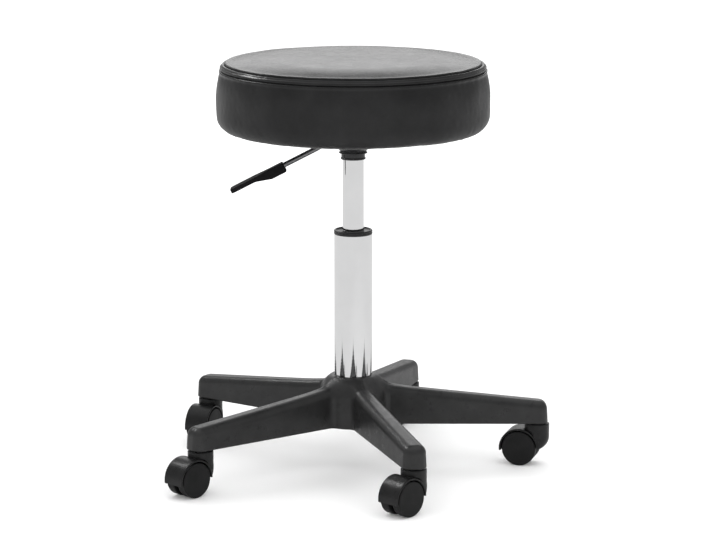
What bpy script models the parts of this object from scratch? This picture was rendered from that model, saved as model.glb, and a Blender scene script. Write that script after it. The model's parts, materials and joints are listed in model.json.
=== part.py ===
"""Rolling stool: a round padded seat on a gas lift, over a five-leg moulded base on twin-wheel casters.

Metres, +Z up. The origin is on the floor, on the column's axis. Heights are worked out upwards from the
floor, so a size that changes carries everything above it along.
"""

import math

import bmesh
import bpy
from mathutils import Matrix, Vector

# Fits
GAP = 0.0003
EMBED = 0.0012
WELD = 0.00001

# Casters: twin wheels under a hood that swivels on a plain stem
CASTER_YAWS_DEG = (177.5, 224.0, 260.5, 239.0, 240.0)
CASTER_TRAIL = 0.020
WHEEL_RADIUS = 0.023
WHEEL_WIDTH = 0.0131
WHEEL_SIDES = 20
WHEEL_RIM = 0.004
WHEEL_FACE = 0.0032
WHEEL_EDGE = 0.0016
WHEEL_BOSS_RADIUS = 0.0064
AXLE_RADIUS = 0.003
AXLE_COVER = 0.0012
WEB_THICKNESS = 0.006
WEB_RADIUS = 0.0125
WEB_CLEARANCE = 0.0008
HOOD_CLEARANCE = 0.0015
HOOD_WALL = 0.0024
WHEEL_STANDS_OUT = 0.0004
HOOD_EDGE = 0.0011
HOOD_SHOULDER_DEG = 106.0
HOOD_NOSE_DEG = -8.0
BARREL_RISE = 0.0066
BARREL_REACH = 0.0113
BARREL_BACK = 0.0095
BARREL_CORNER = 0.002
BARREL_TUCK = 0.0165
BARREL_LIP = 0.0014
STEM_RADIUS = 0.0055
STEM_FLANGE_RADIUS = 0.009
STEM_FLANGE_THICKNESS = 0.0011
STEM_INSERT = 0.022
STEM_DEPTH = 0.0115

# Base: five hollow moulded legs on a domed hub
LEG_COUNT = 5
FIRST_LEG_DEG = 14.0
STEM_CIRCLE_RADIUS = 0.2428
LEG_TIP_REACH = 0.0152
LEG_TIP_HALF_WIDTH = 0.016
LEG_TIP_CORNER = 0.012
LEG_TIP_HEIGHT = 0.030
LEG_ROOT_HALF_WIDTH = 0.0145
LEG_ROOT_HEIGHT = 0.0503
LEG_FILLET = 0.0105
LEG_DRAFT = 0.0009
LEG_WALL = 0.003
CROTCH_RADIUS = 0.010
CROTCH_STEPS = 3
HUB_RADIUS = 0.046
HUB_HEIGHT = 0.0656
HUB_SHOULDER = 0.024
HUB_SKIRT = 0.035
HUB_SOCKET_WALL = 0.0055
HUB_RING_WALL = 0.0022
HUB_RING_HEIGHT = 0.010
STEM_SOCKET_WALL = 0.0045
STEM_SOCKET_DEPTH = 0.023
RIB_THICKNESS = 0.0022
RIB_RECESS = 0.004
CROSS_RIB_RECESS = 0.006
CROSS_RIBS = 3

# Column: chromed stand tube, swaged down to the hub's taper between flutes
TUBE_RADIUS = 0.025
TUBE_WALL = 0.0018
TUBE_HEIGHT = 0.1885
TUBE_FOOT_RISE = 0.008
TUBE_FLOOR = 0.003
TAPER_TOP_RADIUS = 0.0233
TAPER_FOOT_RADIUS = 0.0217
FLUTE_COUNT = 10
FLUTE_LENGTH = 0.0635
FLUTE_SPREAD = 2.3
FLUTE_FOOT_SHARE = 0.42
FLUTE_EDGE_DEG = 2.5
BUSH_RIM = 0.0052
BUSH_LIP = 0.0003
BUSH_DISH = 0.0026
BUSH_LENGTH = 0.068

# Gas lift
LIFT_RADIUS = 0.014
LIFT_WALL = 0.002
LIFT_SHOWS = 0.0935
LIFT_CAP = 0.005
LIFT_TAPER = 0.0007
LIFT_DROP = 0.080
LIFT_RISE = 0.045
ROD_RADIUS = 0.005
SPIGOT_RADIUS = 0.004
ROD_END = 0.0075
PISTON_LENGTH = 0.020
GUIDE_LENGTH = 0.015
WASHER_RADIUS = 0.0125
WASHER_THICKNESS = 0.0015
CAGE_THICKNESS = 0.0018
BALL_COUNT = 6
BALL_RADIUS = 0.002
BUMP_HEIGHT = 0.013
BUMP_RADIUS = 0.011
CLIP_THICKNESS = 0.0014
CLIP_RADIUS = 0.008
CLIP_GROOVE = 0.0008
RELEASE_PIN_RADIUS = 0.003
RELEASE_PIN_SHOWS = 0.004
RELEASE_PIN_LENGTH = 0.018

# Collar and seat plate
COLLAR_HEIGHT = 0.0172
COLLAR_FOOT_RADIUS = 0.0162
COLLAR_FOOT_HEIGHT = 0.008
COLLAR_RIB_RADIUS = 0.0185
COLLAR_RIB_HEIGHT = 0.0018
COLLAR_TOP_RADIUS = 0.025
PLATE_SIDE = 0.160
PLATE_CORNER = 0.020
PLATE_THICKNESS = 0.002
PAN_DEPTH = 0.0175
PAN_RADIUS = 0.036
BOLT_SPACING = 0.126
BOLT_RADIUS = 0.003
BOLT_HEAD_RADIUS = 0.006
BOLT_HEAD_HEIGHT = 0.004
BOLT_CLEARANCE = 0.0004

# Height lever
LEVER_YAW_DEG = 194.0
LEVER_PIVOT_REACH = 0.019
LEVER_NOSE = 0.004
LEVER_ROD_RADIUS = 0.003
LEVER_SLOPE_DEG = 26.0
LEVER_BEND_RADIUS = 0.012
LEVER_PADDLE_AT = 0.0715
LEVER_ROD_SEAT = 0.027
PADDLE_BLOCK_LENGTH = 0.021
PADDLE_WEDGE_LENGTH = 0.021
PADDLE_LENGTH = 0.077
PADDLE_TOP = 0.0046
PADDLE_BLOCK_BOTTOM = 0.0086
PADDLE_BLADE_THICKNESS = 0.006
PADDLE_BLOCK_HALF_WIDTH = 0.008
PADDLE_BLADE_HALF_WIDTH = 0.0125
PADDLE_TIP_ROUND = 0.006
PADDLE_EDGE = 0.0008
PIVOT_PIN_RADIUS = 0.0012
EAR_SPACING = 0.0095
EAR_THICKNESS = 0.0025
EAR_HALF_LENGTH = 0.005
EAR_TOP = 0.0032
LEVER_SLOT_MARGIN = 0.0015

# Seat: leatherette cover over foam on a plywood board
SEAT_RADIUS = 0.1784
SEAT_THICKNESS = 0.095
SEAT_CROWN = 0.0028
SEAT_FLAT = 0.045
SHOULDER_RADIUS = 0.0115
SHOULDER_TUCK = 0.005
SIDE_FULLNESS = 3.0
SKIRT_RADIUS = 0.027
TOP_SEAM_DEG = 62.0
SIDE_SEAM_DEG = 22.0
SEAM_DEPTH = 0.0014
SEAM_HALF_WIDTH_DEG = 7.0
COVER_THICKNESS = 0.0028
HEM_WIDTH = 0.022
BOARD_SETBACK = 0.0284
BOARD_THICKNESS = 0.012
SEAT_SIDES = 36

# Heights that follow from the sizes above
AXLE_Z = WHEEL_RADIUS * math.cos(math.pi / WHEEL_SIDES)
WELL_RADIUS = WHEEL_RADIUS + HOOD_CLEARANCE
HOOD_RADIUS = WELL_RADIUS + HOOD_WALL
HOOD_TOP = AXLE_Z + HOOD_RADIUS + BARREL_RISE
WHEEL_INNER = WEB_THICKNESS / 2 + WEB_CLEARANCE
HOOD_HALF_WIDTH = WHEEL_INNER + WHEEL_WIDTH - WHEEL_STANDS_OUT
UNDERSIDE = HOOD_TOP + GAP + STEM_FLANGE_THICKNESS + GAP
HUB_TOP = UNDERSIDE + HUB_HEIGHT
TUBE_FOOT = UNDERSIDE + TUBE_FOOT_RISE
TUBE_TOP = HUB_TOP + TUBE_HEIGHT
BUSH_TOP = TUBE_TOP + GAP + BUSH_RIM
BUSH_FOOT = BUSH_TOP - BUSH_LENGTH
BEARING_Z = TUBE_FOOT + TUBE_FLOOR + GAP
CAGE_Z = BEARING_Z + WASHER_THICKNESS + GAP + BALL_RADIUS
UPPER_WASHER_Z = CAGE_Z + BALL_RADIUS + GAP
ROD_SHOULDER = UPPER_WASHER_Z + WASHER_THICKNESS + GAP
BUMP_TOP = ROD_SHOULDER + BUMP_HEIGHT
LIFT_FOOT = BUMP_TOP + LIFT_DROP + GAP
PISTON_FOOT = LIFT_FOOT + GUIDE_LENGTH + LIFT_RISE + GAP
COLLAR_FOOT = BUSH_TOP + LIFT_SHOWS
PAN_UNDERSIDE = COLLAR_FOOT + COLLAR_HEIGHT + GAP
LIFT_TOP = PAN_UNDERSIDE + PLATE_THICKNESS
PIN_TOP = LIFT_TOP + RELEASE_PIN_SHOWS
LEVER_Z = PIN_TOP + GAP + LEVER_ROD_RADIUS
PLATE_TOP = PAN_UNDERSIDE + PAN_DEPTH + PLATE_THICKNESS
SEAT_BOTTOM = PLATE_TOP + GAP
BOARD_RADIUS = SEAT_RADIUS - BOARD_SETBACK
BOARD_BOTTOM = SEAT_BOTTOM + COVER_THICKNESS + GAP
BOARD_TOP = BOARD_BOTTOM + BOARD_THICKNESS
SEAT_TOP = SEAT_BOTTOM + SEAT_THICKNESS
LEG_ANGLES = [math.radians(FIRST_LEG_DEG + 360.0 / LEG_COUNT * leg) for leg in range(LEG_COUNT)]

for leftover in list(bpy.data.objects):
    bpy.data.objects.remove(leftover, do_unlink=True)

PARTS = bpy.data.collections.new("rolling_stool")
CUTTERS = bpy.data.collections.new("cutters")
for collection in (PARTS, CUTTERS):
    bpy.context.scene.collection.children.link(collection)


def finish(name, colour, roughness, metallic=0.0):
    """A material with one Principled shader."""
    material = bpy.data.materials.new(name)
    material.use_nodes = True
    shader = material.node_tree.nodes["Principled BSDF"]
    shader.inputs["Base Color"].default_value = (*colour, 1.0)
    shader.inputs["Roughness"].default_value = roughness
    shader.inputs["Metallic"].default_value = metallic
    return material


LEATHERETTE = finish("black_leatherette", (0.022, 0.022, 0.023), 0.42)
FOAM = finish("seat_foam", (0.75, 0.70, 0.52), 0.95)
PLYWOOD = finish("plywood", (0.62, 0.45, 0.28), 0.7)
LINING = finish("black_lining", (0.018, 0.018, 0.018), 0.9)
CHROME = finish("chrome", (0.82, 0.82, 0.83), 0.08, 1.0)
BLACK_STEEL = finish("black_steel", (0.03, 0.03, 0.032), 0.38, 0.6)
BRIGHT_STEEL = finish("bright_steel", (0.56, 0.56, 0.57), 0.3, 1.0)
NYLON = finish("black_nylon", (0.028, 0.028, 0.029), 0.46)
WHEEL_NYLON = finish("wheel_nylon", (0.02, 0.02, 0.021), 0.5)
GLOSS_PLASTIC = finish("black_plastic", (0.016, 0.016, 0.017), 0.34)
RUBBER = finish("rubber", (0.03, 0.03, 0.03), 0.8)


def carrier(name, place, yaw=0.0, parent=None):
    """An empty on a joint's axis, which carries the pieces that move on it."""
    empty = bpy.data.objects.new(name, None)
    empty.location = place
    empty.rotation_euler = (0.0, 0.0, yaw)
    empty.parent = parent
    PARTS.objects.link(empty)
    return empty


def place(name, mesh, material, parent=None, at=(0.0, 0.0, 0.0), turn=(0.0, 0.0, 0.0)):
    """A named piece of the stool with its own finish."""
    piece = bpy.data.objects.new(name, mesh)
    piece.location = at
    piece.rotation_euler = turn
    piece.parent = parent
    if not mesh.materials:
        mesh.materials.append(material)
    PARTS.objects.link(piece)
    return piece


def as_cutter(piece):
    """Moves an object to the helpers, where it only shapes other pieces."""
    PARTS.objects.unlink(piece)
    CUTTERS.objects.link(piece)
    piece.hide_render = True
    piece.display_type = "WIRE"
    return piece


def smooth(mesh, sharp_deg=38.0):
    mesh.shade_smooth()
    mesh.set_sharp_from_angle(angle=math.radians(sharp_deg))
    return mesh


def profile_mesh(name, profile):
    """A turned piece's half section: (radius, height) down the outside, then up the inside."""
    points = [(radius, 0.0, height) for radius, height in profile]
    edges = [(step, step + 1) for step in range(len(points) - 1)]
    if profile[0][0] > 0.0:
        edges.append((len(points) - 1, 0))
    mesh = bpy.data.meshes.new(name)
    mesh.from_pydata(points, edges, [])
    return mesh


def turned(name, profile, sides, material, **where):
    """A solid of revolution about its own Z axis."""
    piece = place(name, profile_mesh(name, profile), material, **where)
    screw = piece.modifiers.new("turn", "SCREW")
    screw.axis = "Z"
    screw.steps = sides
    screw.render_steps = sides
    screw.use_merge_vertices = True
    screw.merge_threshold = WELD
    screw.use_smooth_shade = True
    return piece


def cylinder(name, radius, low, high, sides, material, **where):
    return turned(name, [(0.0, high), (radius, high), (radius, low), (0.0, low)], sides, material, **where)


def ring(name, inner, outer, low, high, sides, material, **where):
    profile = [(outer, high), (outer, low), (inner, low), (inner, high)]
    return turned(name, profile, sides, material, **where)


def box(name, low, high, material, **where):
    """A block between two corners."""
    mesh = bpy.data.meshes.new(name)
    shape = bmesh.new()
    bmesh.ops.create_cube(shape, size=1.0)
    size = Vector(high) - Vector(low)
    middle = (Vector(high) + Vector(low)) / 2
    shape.transform(Matrix.Translation(middle) @ Matrix.Diagonal((*size, 1.0)))
    shape.to_mesh(mesh)
    shape.free()
    return place(name, mesh, material, **where)


def boolean(piece, other, operation):
    modifier = piece.modifiers.new(operation.lower(), "BOOLEAN")
    modifier.operation = operation
    modifier.object = other
    modifier.solver = "EXACT"


def cut(piece, *cutters):
    for cutter in cutters:
        boolean(piece, as_cutter(cutter), "DIFFERENCE")


def join(piece, *others):
    for other in others:
        boolean(piece, as_cutter(other), "UNION")


def evaluated_mesh(piece, name):
    """The piece's mesh with its modifiers applied."""
    bpy.context.view_layer.update()
    graph = bpy.context.evaluated_depsgraph_get()
    mesh = bpy.data.meshes.new_from_object(piece.evaluated_get(graph))
    mesh.name = name
    return mesh


def closed_mesh(curve_data, name):
    """A curve's solid as one welded mesh, facing out."""
    guide = bpy.data.objects.new(name, curve_data)
    PARTS.objects.link(guide)
    mesh = evaluated_mesh(guide, name)
    bpy.data.objects.remove(guide)
    shape = bmesh.new()
    shape.from_mesh(mesh)
    bmesh.ops.remove_doubles(shape, verts=shape.verts, dist=WELD)
    bmesh.ops.recalc_face_normals(shape, faces=shape.faces)
    shape.to_mesh(mesh)
    shape.free()
    return mesh


def outline_mesh(name, outline, half_thickness):
    """A flat outline in XY, thickened both ways along Z."""
    data = bpy.data.curves.new(name, "CURVE")
    data.dimensions = "2D"
    data.fill_mode = "BOTH"
    data.extrude = half_thickness
    spline = data.splines.new("POLY")
    spline.points.add(len(outline) - 1)
    for point, (x, y) in zip(spline.points, outline):
        point.co = (x, y, 0.0, 1.0)
    spline.use_cyclic_u = True
    return closed_mesh(data, name)


def rod_mesh(name, path, radius):
    """A round bar along a path, with flat ends."""
    data = bpy.data.curves.new(name, "CURVE")
    data.dimensions = "3D"
    data.bevel_depth = radius
    data.bevel_resolution = 2
    data.use_fill_caps = True
    spline = data.splines.new("POLY")
    spline.points.add(len(path) - 1)
    for point, spot in zip(spline.points, path):
        point.co = (*spot, 1.0)
    return smooth(closed_mesh(data, name))


def loft_mesh(name, rings, wrap=False):
    """A closed skin over rings of one count. Unwrapped, the first and last ring close onto themselves."""
    shape = bmesh.new()
    rows = [[shape.verts.new(point) for point in points] for points in rings]
    strips = list(zip(rows, rows[1:]))
    if wrap:
        strips.append((rows[-1], rows[0]))
    count = len(rows[0])
    for upper, lower in strips:
        for column in range(count):
            ahead = (column + 1) % count
            shape.faces.new((upper[column], upper[ahead], lower[ahead], lower[column]))
    bmesh.ops.remove_doubles(shape, verts=shape.verts, dist=WELD)
    bmesh.ops.dissolve_degenerate(shape, edges=shape.edges, dist=WELD)
    bmesh.ops.recalc_face_normals(shape, faces=shape.faces)
    mesh = bpy.data.meshes.new(name)
    shape.to_mesh(mesh)
    shape.free()
    return smooth(mesh)


def arc(centre, radius, start_deg, end_deg, steps):
    """Points on an arc, both ends among them."""
    spots = []
    for step in range(steps + 1):
        angle = math.radians(start_deg + (end_deg - start_deg) * step / steps)
        spots.append((centre[0] + radius * math.cos(angle), centre[1] + radius * math.sin(angle)))
    return spots


# Casters


def hood_outline():
    """The hood's side view, from the lip in front of the wheels over the barrel and the arch to the web."""
    axle = (CASTER_TRAIL, AXLE_Z)
    lip = CASTER_TRAIL - WELL_RADIUS - BARREL_LIP
    tuck_width = lip + BARREL_REACH
    front = [(lip - tuck_width * math.sin(turn), AXLE_Z + BARREL_TUCK * (1 - math.cos(turn)))
             for turn in (0.0, math.pi / 6, math.pi / 3, math.pi / 2)]
    corner = arc((BARREL_CORNER - BARREL_REACH, HOOD_TOP - BARREL_CORNER), BARREL_CORNER, 180.0, 90.0, 2)
    arch = arc(axle, HOOD_RADIUS, HOOD_SHOULDER_DEG, HOOD_NOSE_DEG, 10)
    web_start = math.degrees(math.asin((arch[-1][1] - AXLE_Z) / WEB_RADIUS))
    web = arc(axle, WEB_RADIUS, web_start, -180.0, 5)
    return front + corner + [(BARREL_BACK, HOOD_TOP)] + arch + web


def hood_mesh():
    """The hood: its side view thickened, with a well for each wheel, the stem's bore and the axle's hole."""
    upright = Matrix.Rotation(math.pi / 2, 4, "X")
    blank_mesh = outline_mesh("hood", hood_outline(), HOOD_HALF_WIDTH)
    blank_mesh.transform(upright)
    blank = place("hood_blank", blank_mesh, NYLON)
    edges = blank.modifiers.new("edges", "BEVEL")
    edges.width = HOOD_EDGE
    edges.segments = 1
    edges.limit_method = "ANGLE"
    edges.angle_limit = math.radians(70.0)
    on_axle = dict(at=(CASTER_TRAIL, 0.0, AXLE_Z), turn=(math.pi / 2, 0.0, 0.0))
    outside = HOOD_HALF_WIDTH + WHEEL_WIDTH
    wells = [cylinder("wheel_well", WELL_RADIUS, low, high, 20, NYLON, **on_axle)
             for low, high in ((WEB_THICKNESS / 2, outside), (-outside, -WEB_THICKNESS / 2))]
    bore = cylinder("stem_bore", STEM_RADIUS + GAP, HOOD_TOP - STEM_DEPTH - GAP, HOOD_TOP + GAP, 12, NYLON)
    axle_hole = cylinder("axle_hole", AXLE_RADIUS + GAP, -WEB_THICKNESS, WEB_THICKNESS, 12, NYLON, **on_axle)
    cut(blank, *wells, bore, axle_hole)
    mesh = smooth(evaluated_mesh(blank, "caster_hood"))
    as_cutter(blank)
    return mesh


def wheel_profile():
    """A wheel's half section: closed face outwards, open rim and boss towards the hood's web."""
    bore = AXLE_RADIUS + GAP
    tread = WHEEL_RADIUS
    inside = WHEEL_WIDTH - WHEEL_FACE
    return [
        (0.0, WHEEL_WIDTH),
        (tread - WHEEL_EDGE, WHEEL_WIDTH),
        (tread, WHEEL_WIDTH - WHEEL_EDGE),
        (tread, 0.0),
        (tread - WHEEL_RIM, 0.0),
        (tread - WHEEL_RIM, inside),
        (WHEEL_BOSS_RADIUS, inside),
        (WHEEL_BOSS_RADIUS, 0.0),
        (bore, 0.0),
        (bore, WHEEL_WIDTH - AXLE_COVER),
        (0.0, WHEEL_WIDTH - AXLE_COVER),
    ]


def stem_profile():
    flange_top = UNDERSIDE - GAP
    flange_foot = flange_top - STEM_FLANGE_THICKNESS
    top = UNDERSIDE + STEM_INSERT
    foot = HOOD_TOP - STEM_DEPTH
    return [
        (0.0, top),
        (STEM_RADIUS, top),
        (STEM_RADIUS, flange_top),
        (STEM_FLANGE_RADIUS, flange_top),
        (STEM_FLANGE_RADIUS, flange_foot),
        (STEM_RADIUS, flange_foot),
        (STEM_RADIUS, foot),
        (0.0, foot),
    ]


def build_casters():
    shared_hood = hood_mesh()
    axle_end = WHEEL_INNER + WHEEL_WIDTH - AXLE_COVER - GAP
    half_step = math.pi / WHEEL_SIDES
    for index, (angle, yaw) in enumerate(zip(LEG_ANGLES, CASTER_YAWS_DEG), start=1):
        spot = (STEM_CIRCLE_RADIUS * math.cos(angle), STEM_CIRCLE_RADIUS * math.sin(angle), 0.0)
        turned(f"caster_stem_{index}", stem_profile(), 12, BRIGHT_STEEL, at=spot)
        swivel = carrier(f"caster_{index}_axis", spot, math.radians(yaw))
        place(f"caster_hood_{index}", shared_hood, NYLON, parent=swivel)
        axle = (CASTER_TRAIL, 0.0, AXLE_Z)
        cylinder(f"caster_axle_{index}", AXLE_RADIUS, -axle_end, axle_end, 12, BRIGHT_STEEL,
                 parent=swivel, at=axle, turn=(math.pi / 2, 0.0, 0.0))
        for side, way in (("left", 1.0), ("right", -1.0)):
            seat = (CASTER_TRAIL, way * WHEEL_INNER, AXLE_Z)
            # The face looks away from the web, and half a step brings a flat of the tread to the floor.
            turn = Matrix.Rotation(-way * math.pi / 2, 4, "X") @ Matrix.Rotation(
                math.pi / 2 + half_step, 4, "Z")
            turned(f"wheel_{index}_{side}", wheel_profile(), WHEEL_SIDES, WHEEL_NYLON,
                   parent=swivel, at=seat, turn=turn.to_euler())


# Base


def ridge_height(reach):
    """A leg's top over the floor, falling evenly from the hub to the stem."""
    along = (reach - HUB_RADIUS) / (STEM_CIRCLE_RADIUS - HUB_RADIUS)
    return UNDERSIDE + LEG_ROOT_HEIGHT + (LEG_TIP_HEIGHT - LEG_ROOT_HEIGHT) * along


def dome_height(radius):
    """The hub's shoulder: a smooth step from the tube's mouth, round above and hollow towards the legs."""
    across = (radius - TUBE_RADIUS) / HUB_SKIRT
    across = min(max(across, 0.0), 1.0)
    return HUB_TOP - HUB_SHOULDER * across**2 * (3.0 - 2.0 * across)


def leg_outline():
    """Half of one leg's plan in the leg's frame, from the hub's wall to the tip.

    Each column holds its point, its outward normal, the spine point it faces, and how far it has left the
    hub's dome for the leg's top, from 0 to 1.
    """
    half_sector = math.pi / LEG_COUNT
    outwards = Vector((math.cos(half_sector), math.sin(half_sector)))
    columns = [(outwards * HUB_RADIUS, outwards, 0.0, 0.0)]
    across = LEG_ROOT_HALF_WIDTH + CROTCH_RADIUS
    along = math.sqrt((HUB_RADIUS + CROTCH_RADIUS) ** 2 - across**2)
    hub_side = math.degrees(math.atan2(across, along)) + 180.0
    crotch = arc((along, across), CROTCH_RADIUS, hub_side, 270.0, CROTCH_STEPS)
    for step, spot in enumerate(crotch):
        normal = (Vector((along, across)) - Vector(spot)) / CROTCH_RADIUS
        share = step / CROTCH_STEPS
        spine = TUBE_RADIUS + (along - TUBE_RADIUS) * share if step else 0.0
        columns.append((Vector(spot), normal, spine, share))
    straight_end = STEM_CIRCLE_RADIUS + LEG_TIP_REACH - LEG_TIP_CORNER
    middle = (along + straight_end) / 2
    mean_width = (LEG_ROOT_HALF_WIDTH + LEG_TIP_HALF_WIDTH) / 2
    columns.append((Vector((middle, mean_width)), Vector((0.0, 1.0)), middle, 1.0))
    corner = (straight_end, LEG_TIP_HALF_WIDTH - LEG_TIP_CORNER)
    for spot in arc(corner, LEG_TIP_CORNER, 90.0, 0.0, 3):
        normal = (Vector(spot) - Vector(corner)) / LEG_TIP_CORNER
        columns.append((Vector(spot), normal, STEM_CIRCLE_RADIUS, 1.0))
    return columns


def star_columns():
    """The whole star's plan: point, outward normal, spine point, the leg's direction and rise, all round."""
    half = leg_outline()
    flip = Matrix.Diagonal((1.0, -1.0))
    right = [(flip @ spot, flip @ normal, spine, rise) for spot, normal, spine, rise in half[1:]]
    columns = []
    for angle in LEG_ANGLES:
        turn = Matrix.Rotation(angle, 2)
        for spot, normal, spine, rise in right + half[:0:-1] + half[:1]:
            leg = turn @ Vector((1.0, 0.0))
            columns.append((turn @ spot, turn @ normal, leg * spine, leg, rise))
    return columns


def top_height(spot, leg, rise):
    """The hub's dome, rising to the leg's top where the column belongs to a leg."""
    dome = dome_height(spot.length)
    ridge = ridge_height(max(spot.dot(leg), HUB_RADIUS))
    highest = max(dome, ridge) if spot.length < HUB_RADIUS else ridge
    return dome + (highest - dome) * rise


def star_rings():
    """Rings of the hollow star, from the spine over the top, down the walls and back along the ceiling."""
    columns = star_columns()
    fillet_turn = 1.0 - math.sqrt(0.5)

    def ring_at(inset, sink, spread=1.0):
        points = []
        for spot, normal, spine, leg, rise in columns:
            edge = spot - normal * inset
            flat = spine.lerp(edge, spread)
            points.append((flat.x, flat.y, top_height(flat, leg, rise) - sink))
        return points

    def floor_ring(inset):
        points = []
        for spot, normal, *_ in columns:
            flat = spot - normal * inset
            points.append((flat.x, flat.y, UNDERSIDE))
        return points

    shoulder = LEG_DRAFT + LEG_FILLET
    ceiling = LEG_DRAFT + LEG_WALL
    soft = ceiling + LEG_FILLET / 2
    rings = [ring_at(shoulder, 0.0, spread) for spread in (0.0, 0.62, 0.84, 1.0)]
    rings.append(ring_at(LEG_DRAFT + LEG_FILLET * fillet_turn, LEG_FILLET * fillet_turn))
    rings.append(ring_at(LEG_DRAFT, LEG_FILLET))
    rings.append(floor_ring(0.0))
    rings.append(floor_ring(LEG_WALL))
    rings.append(ring_at(ceiling, LEG_WALL + LEG_FILLET))
    rings.append(ring_at(soft, LEG_WALL + LEG_FILLET / 3))
    rings.append(ring_at(soft, LEG_WALL, 0.84))
    rings.append(ring_at(soft, LEG_WALL, 0.0))
    return rings


def taper_radius(height):
    """The stand tube's taper inside the hub."""
    along = (height - TUBE_FOOT) / (HUB_TOP - TUBE_FOOT)
    return TAPER_FOOT_RADIUS + (TAPER_TOP_RADIUS - TAPER_FOOT_RADIUS) * along


def leg_ribs(angle, index):
    """A rib along the leg, ribs across it and the stem's socket, all grown into the leg's walls."""
    turn = (0.0, 0.0, angle)
    rib_foot = UNDERSIDE + RIB_RECESS
    half = RIB_THICKNESS / 2
    start = taper_radius(TUBE_FOOT) + HUB_SOCKET_WALL / 2
    low = (start, -half, rib_foot)
    high = (STEM_CIRCLE_RADIUS - STEM_RADIUS - STEM_SOCKET_WALL / 2, half, rib_foot)
    spine = box(f"leg_rib_{index}", low, (high[0], high[1], rib_foot + LEG_TIP_HEIGHT), NYLON, turn=turn)
    for vertex in spine.data.vertices:
        if vertex.co.z > rib_foot + LEG_TIP_HEIGHT / 2:
            vertex.co.z = ridge_height(vertex.co.x) - LEG_WALL + EMBED
    pieces = [spine]
    first = HUB_RADIUS + CROTCH_RADIUS
    pitch = (STEM_CIRCLE_RADIUS - first) / (CROSS_RIBS + 1)
    cross_foot = UNDERSIDE + CROSS_RIB_RECESS
    for rib in range(1, CROSS_RIBS + 1):
        reach = first + pitch * rib
        share = (reach - HUB_RADIUS) / (STEM_CIRCLE_RADIUS - HUB_RADIUS)
        width = LEG_ROOT_HALF_WIDTH + (LEG_TIP_HALF_WIDTH - LEG_ROOT_HALF_WIDTH) * share
        side = width - LEG_DRAFT - LEG_WALL + EMBED
        crest = side - LEG_FILLET / 2 - EMBED
        top = ridge_height(reach) - LEG_WALL + EMBED
        shoulder = top - LEG_FILLET + EMBED
        outline = [(-side, cross_foot), (side, cross_foot), (side, shoulder), (crest, top),
                   (-crest, top), (-side, shoulder)]
        plate = outline_mesh(f"cross_rib_{index}_{rib}", outline, half)
        plate.transform(Matrix(((0, 0, 1, reach), (1, 0, 0, 0), (0, 1, 0, 0), (0, 0, 0, 1))))
        pieces.append(place(plate.name, plate, NYLON, turn=turn))
    spot = (STEM_CIRCLE_RADIUS * math.cos(angle), STEM_CIRCLE_RADIUS * math.sin(angle), 0.0)
    socket_top = ridge_height(STEM_CIRCLE_RADIUS) - LEG_WALL + EMBED
    socket_radius = STEM_RADIUS + GAP + STEM_SOCKET_WALL
    pieces.append(turned(f"stem_socket_{index}", [
        (0.0, socket_top),
        (socket_radius * 0.75, socket_top),
        (socket_radius, socket_top - LEG_FILLET / 2),
        (socket_radius, UNDERSIDE),
        (0.0, UNDERSIDE),
    ], 12, NYLON, at=spot))
    return pieces


def build_base():
    base = place("star_base", loft_mesh("star_base", star_rings()), NYLON)
    socket_foot = UNDERSIDE + EMBED
    outer_foot = taper_radius(socket_foot) + HUB_SOCKET_WALL
    outer_top = taper_radius(HUB_TOP) + HUB_SOCKET_WALL
    roof = HUB_TOP - LEG_WALL + EMBED
    hub_socket = turned("hub_socket", [
        (0.0, roof),
        (taper_radius(HUB_TOP), roof),
        (outer_top, roof - LEG_WALL / 2),
        (outer_foot, socket_foot),
        (0.0, socket_foot),
    ], 24, NYLON)
    join(base, hub_socket)
    for index, angle in enumerate(LEG_ANGLES, start=1):
        join(base, *leg_ribs(angle, index))
    over = HUB_TOP + LEG_WALL
    under = socket_foot - LEG_WALL
    taper = turned("taper_bore", [(0.0, over), (taper_radius(over) + GAP, over),
                                  (taper_radius(under) + GAP, under), (0.0, under)], 30, NYLON)
    ring_inner = outer_foot - HUB_RING_WALL - GAP
    ring_top = socket_foot + HUB_RING_HEIGHT
    recess = ring("hub_ring_recess", ring_inner, outer_foot + HUB_RING_WALL, under,
                  ring_top + GAP, 24, NYLON)
    cut(base, taper, recess)
    for angle in LEG_ANGLES:
        spot = (STEM_CIRCLE_RADIUS * math.cos(angle), STEM_CIRCLE_RADIUS * math.sin(angle), 0.0)
        cut(base, cylinder("stem_hole", STEM_RADIUS + GAP, under, UNDERSIDE + STEM_SOCKET_DEPTH, 12,
                           NYLON, at=spot))
    ring("hub_ring", ring_inner + GAP, ring_inner + GAP + HUB_RING_WALL, socket_foot, ring_top, 24,
         BRIGHT_STEEL)


# Column and gas lift


def flute_depth(turn, height):
    """How far the tube's wall is pressed in: pointed flutes that widen downwards and leave petals between."""
    share = min(max((HUB_TOP + GAP + FLUTE_LENGTH - height) / FLUTE_LENGTH, 0.0), 1.0)
    pitch = 2.0 * math.pi / FLUTE_COUNT
    off = abs((turn + pitch / 2) % pitch - pitch / 2)
    half_width = pitch / 2 * FLUTE_FOOT_SHARE * share**FLUTE_SPREAD
    edge = math.radians(FLUTE_EDGE_DEG)
    inside = min(max((half_width + edge * share - off) / edge, 0.0), 1.0)
    return (TUBE_RADIUS - taper_radius(HUB_TOP)) * share * inside


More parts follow.
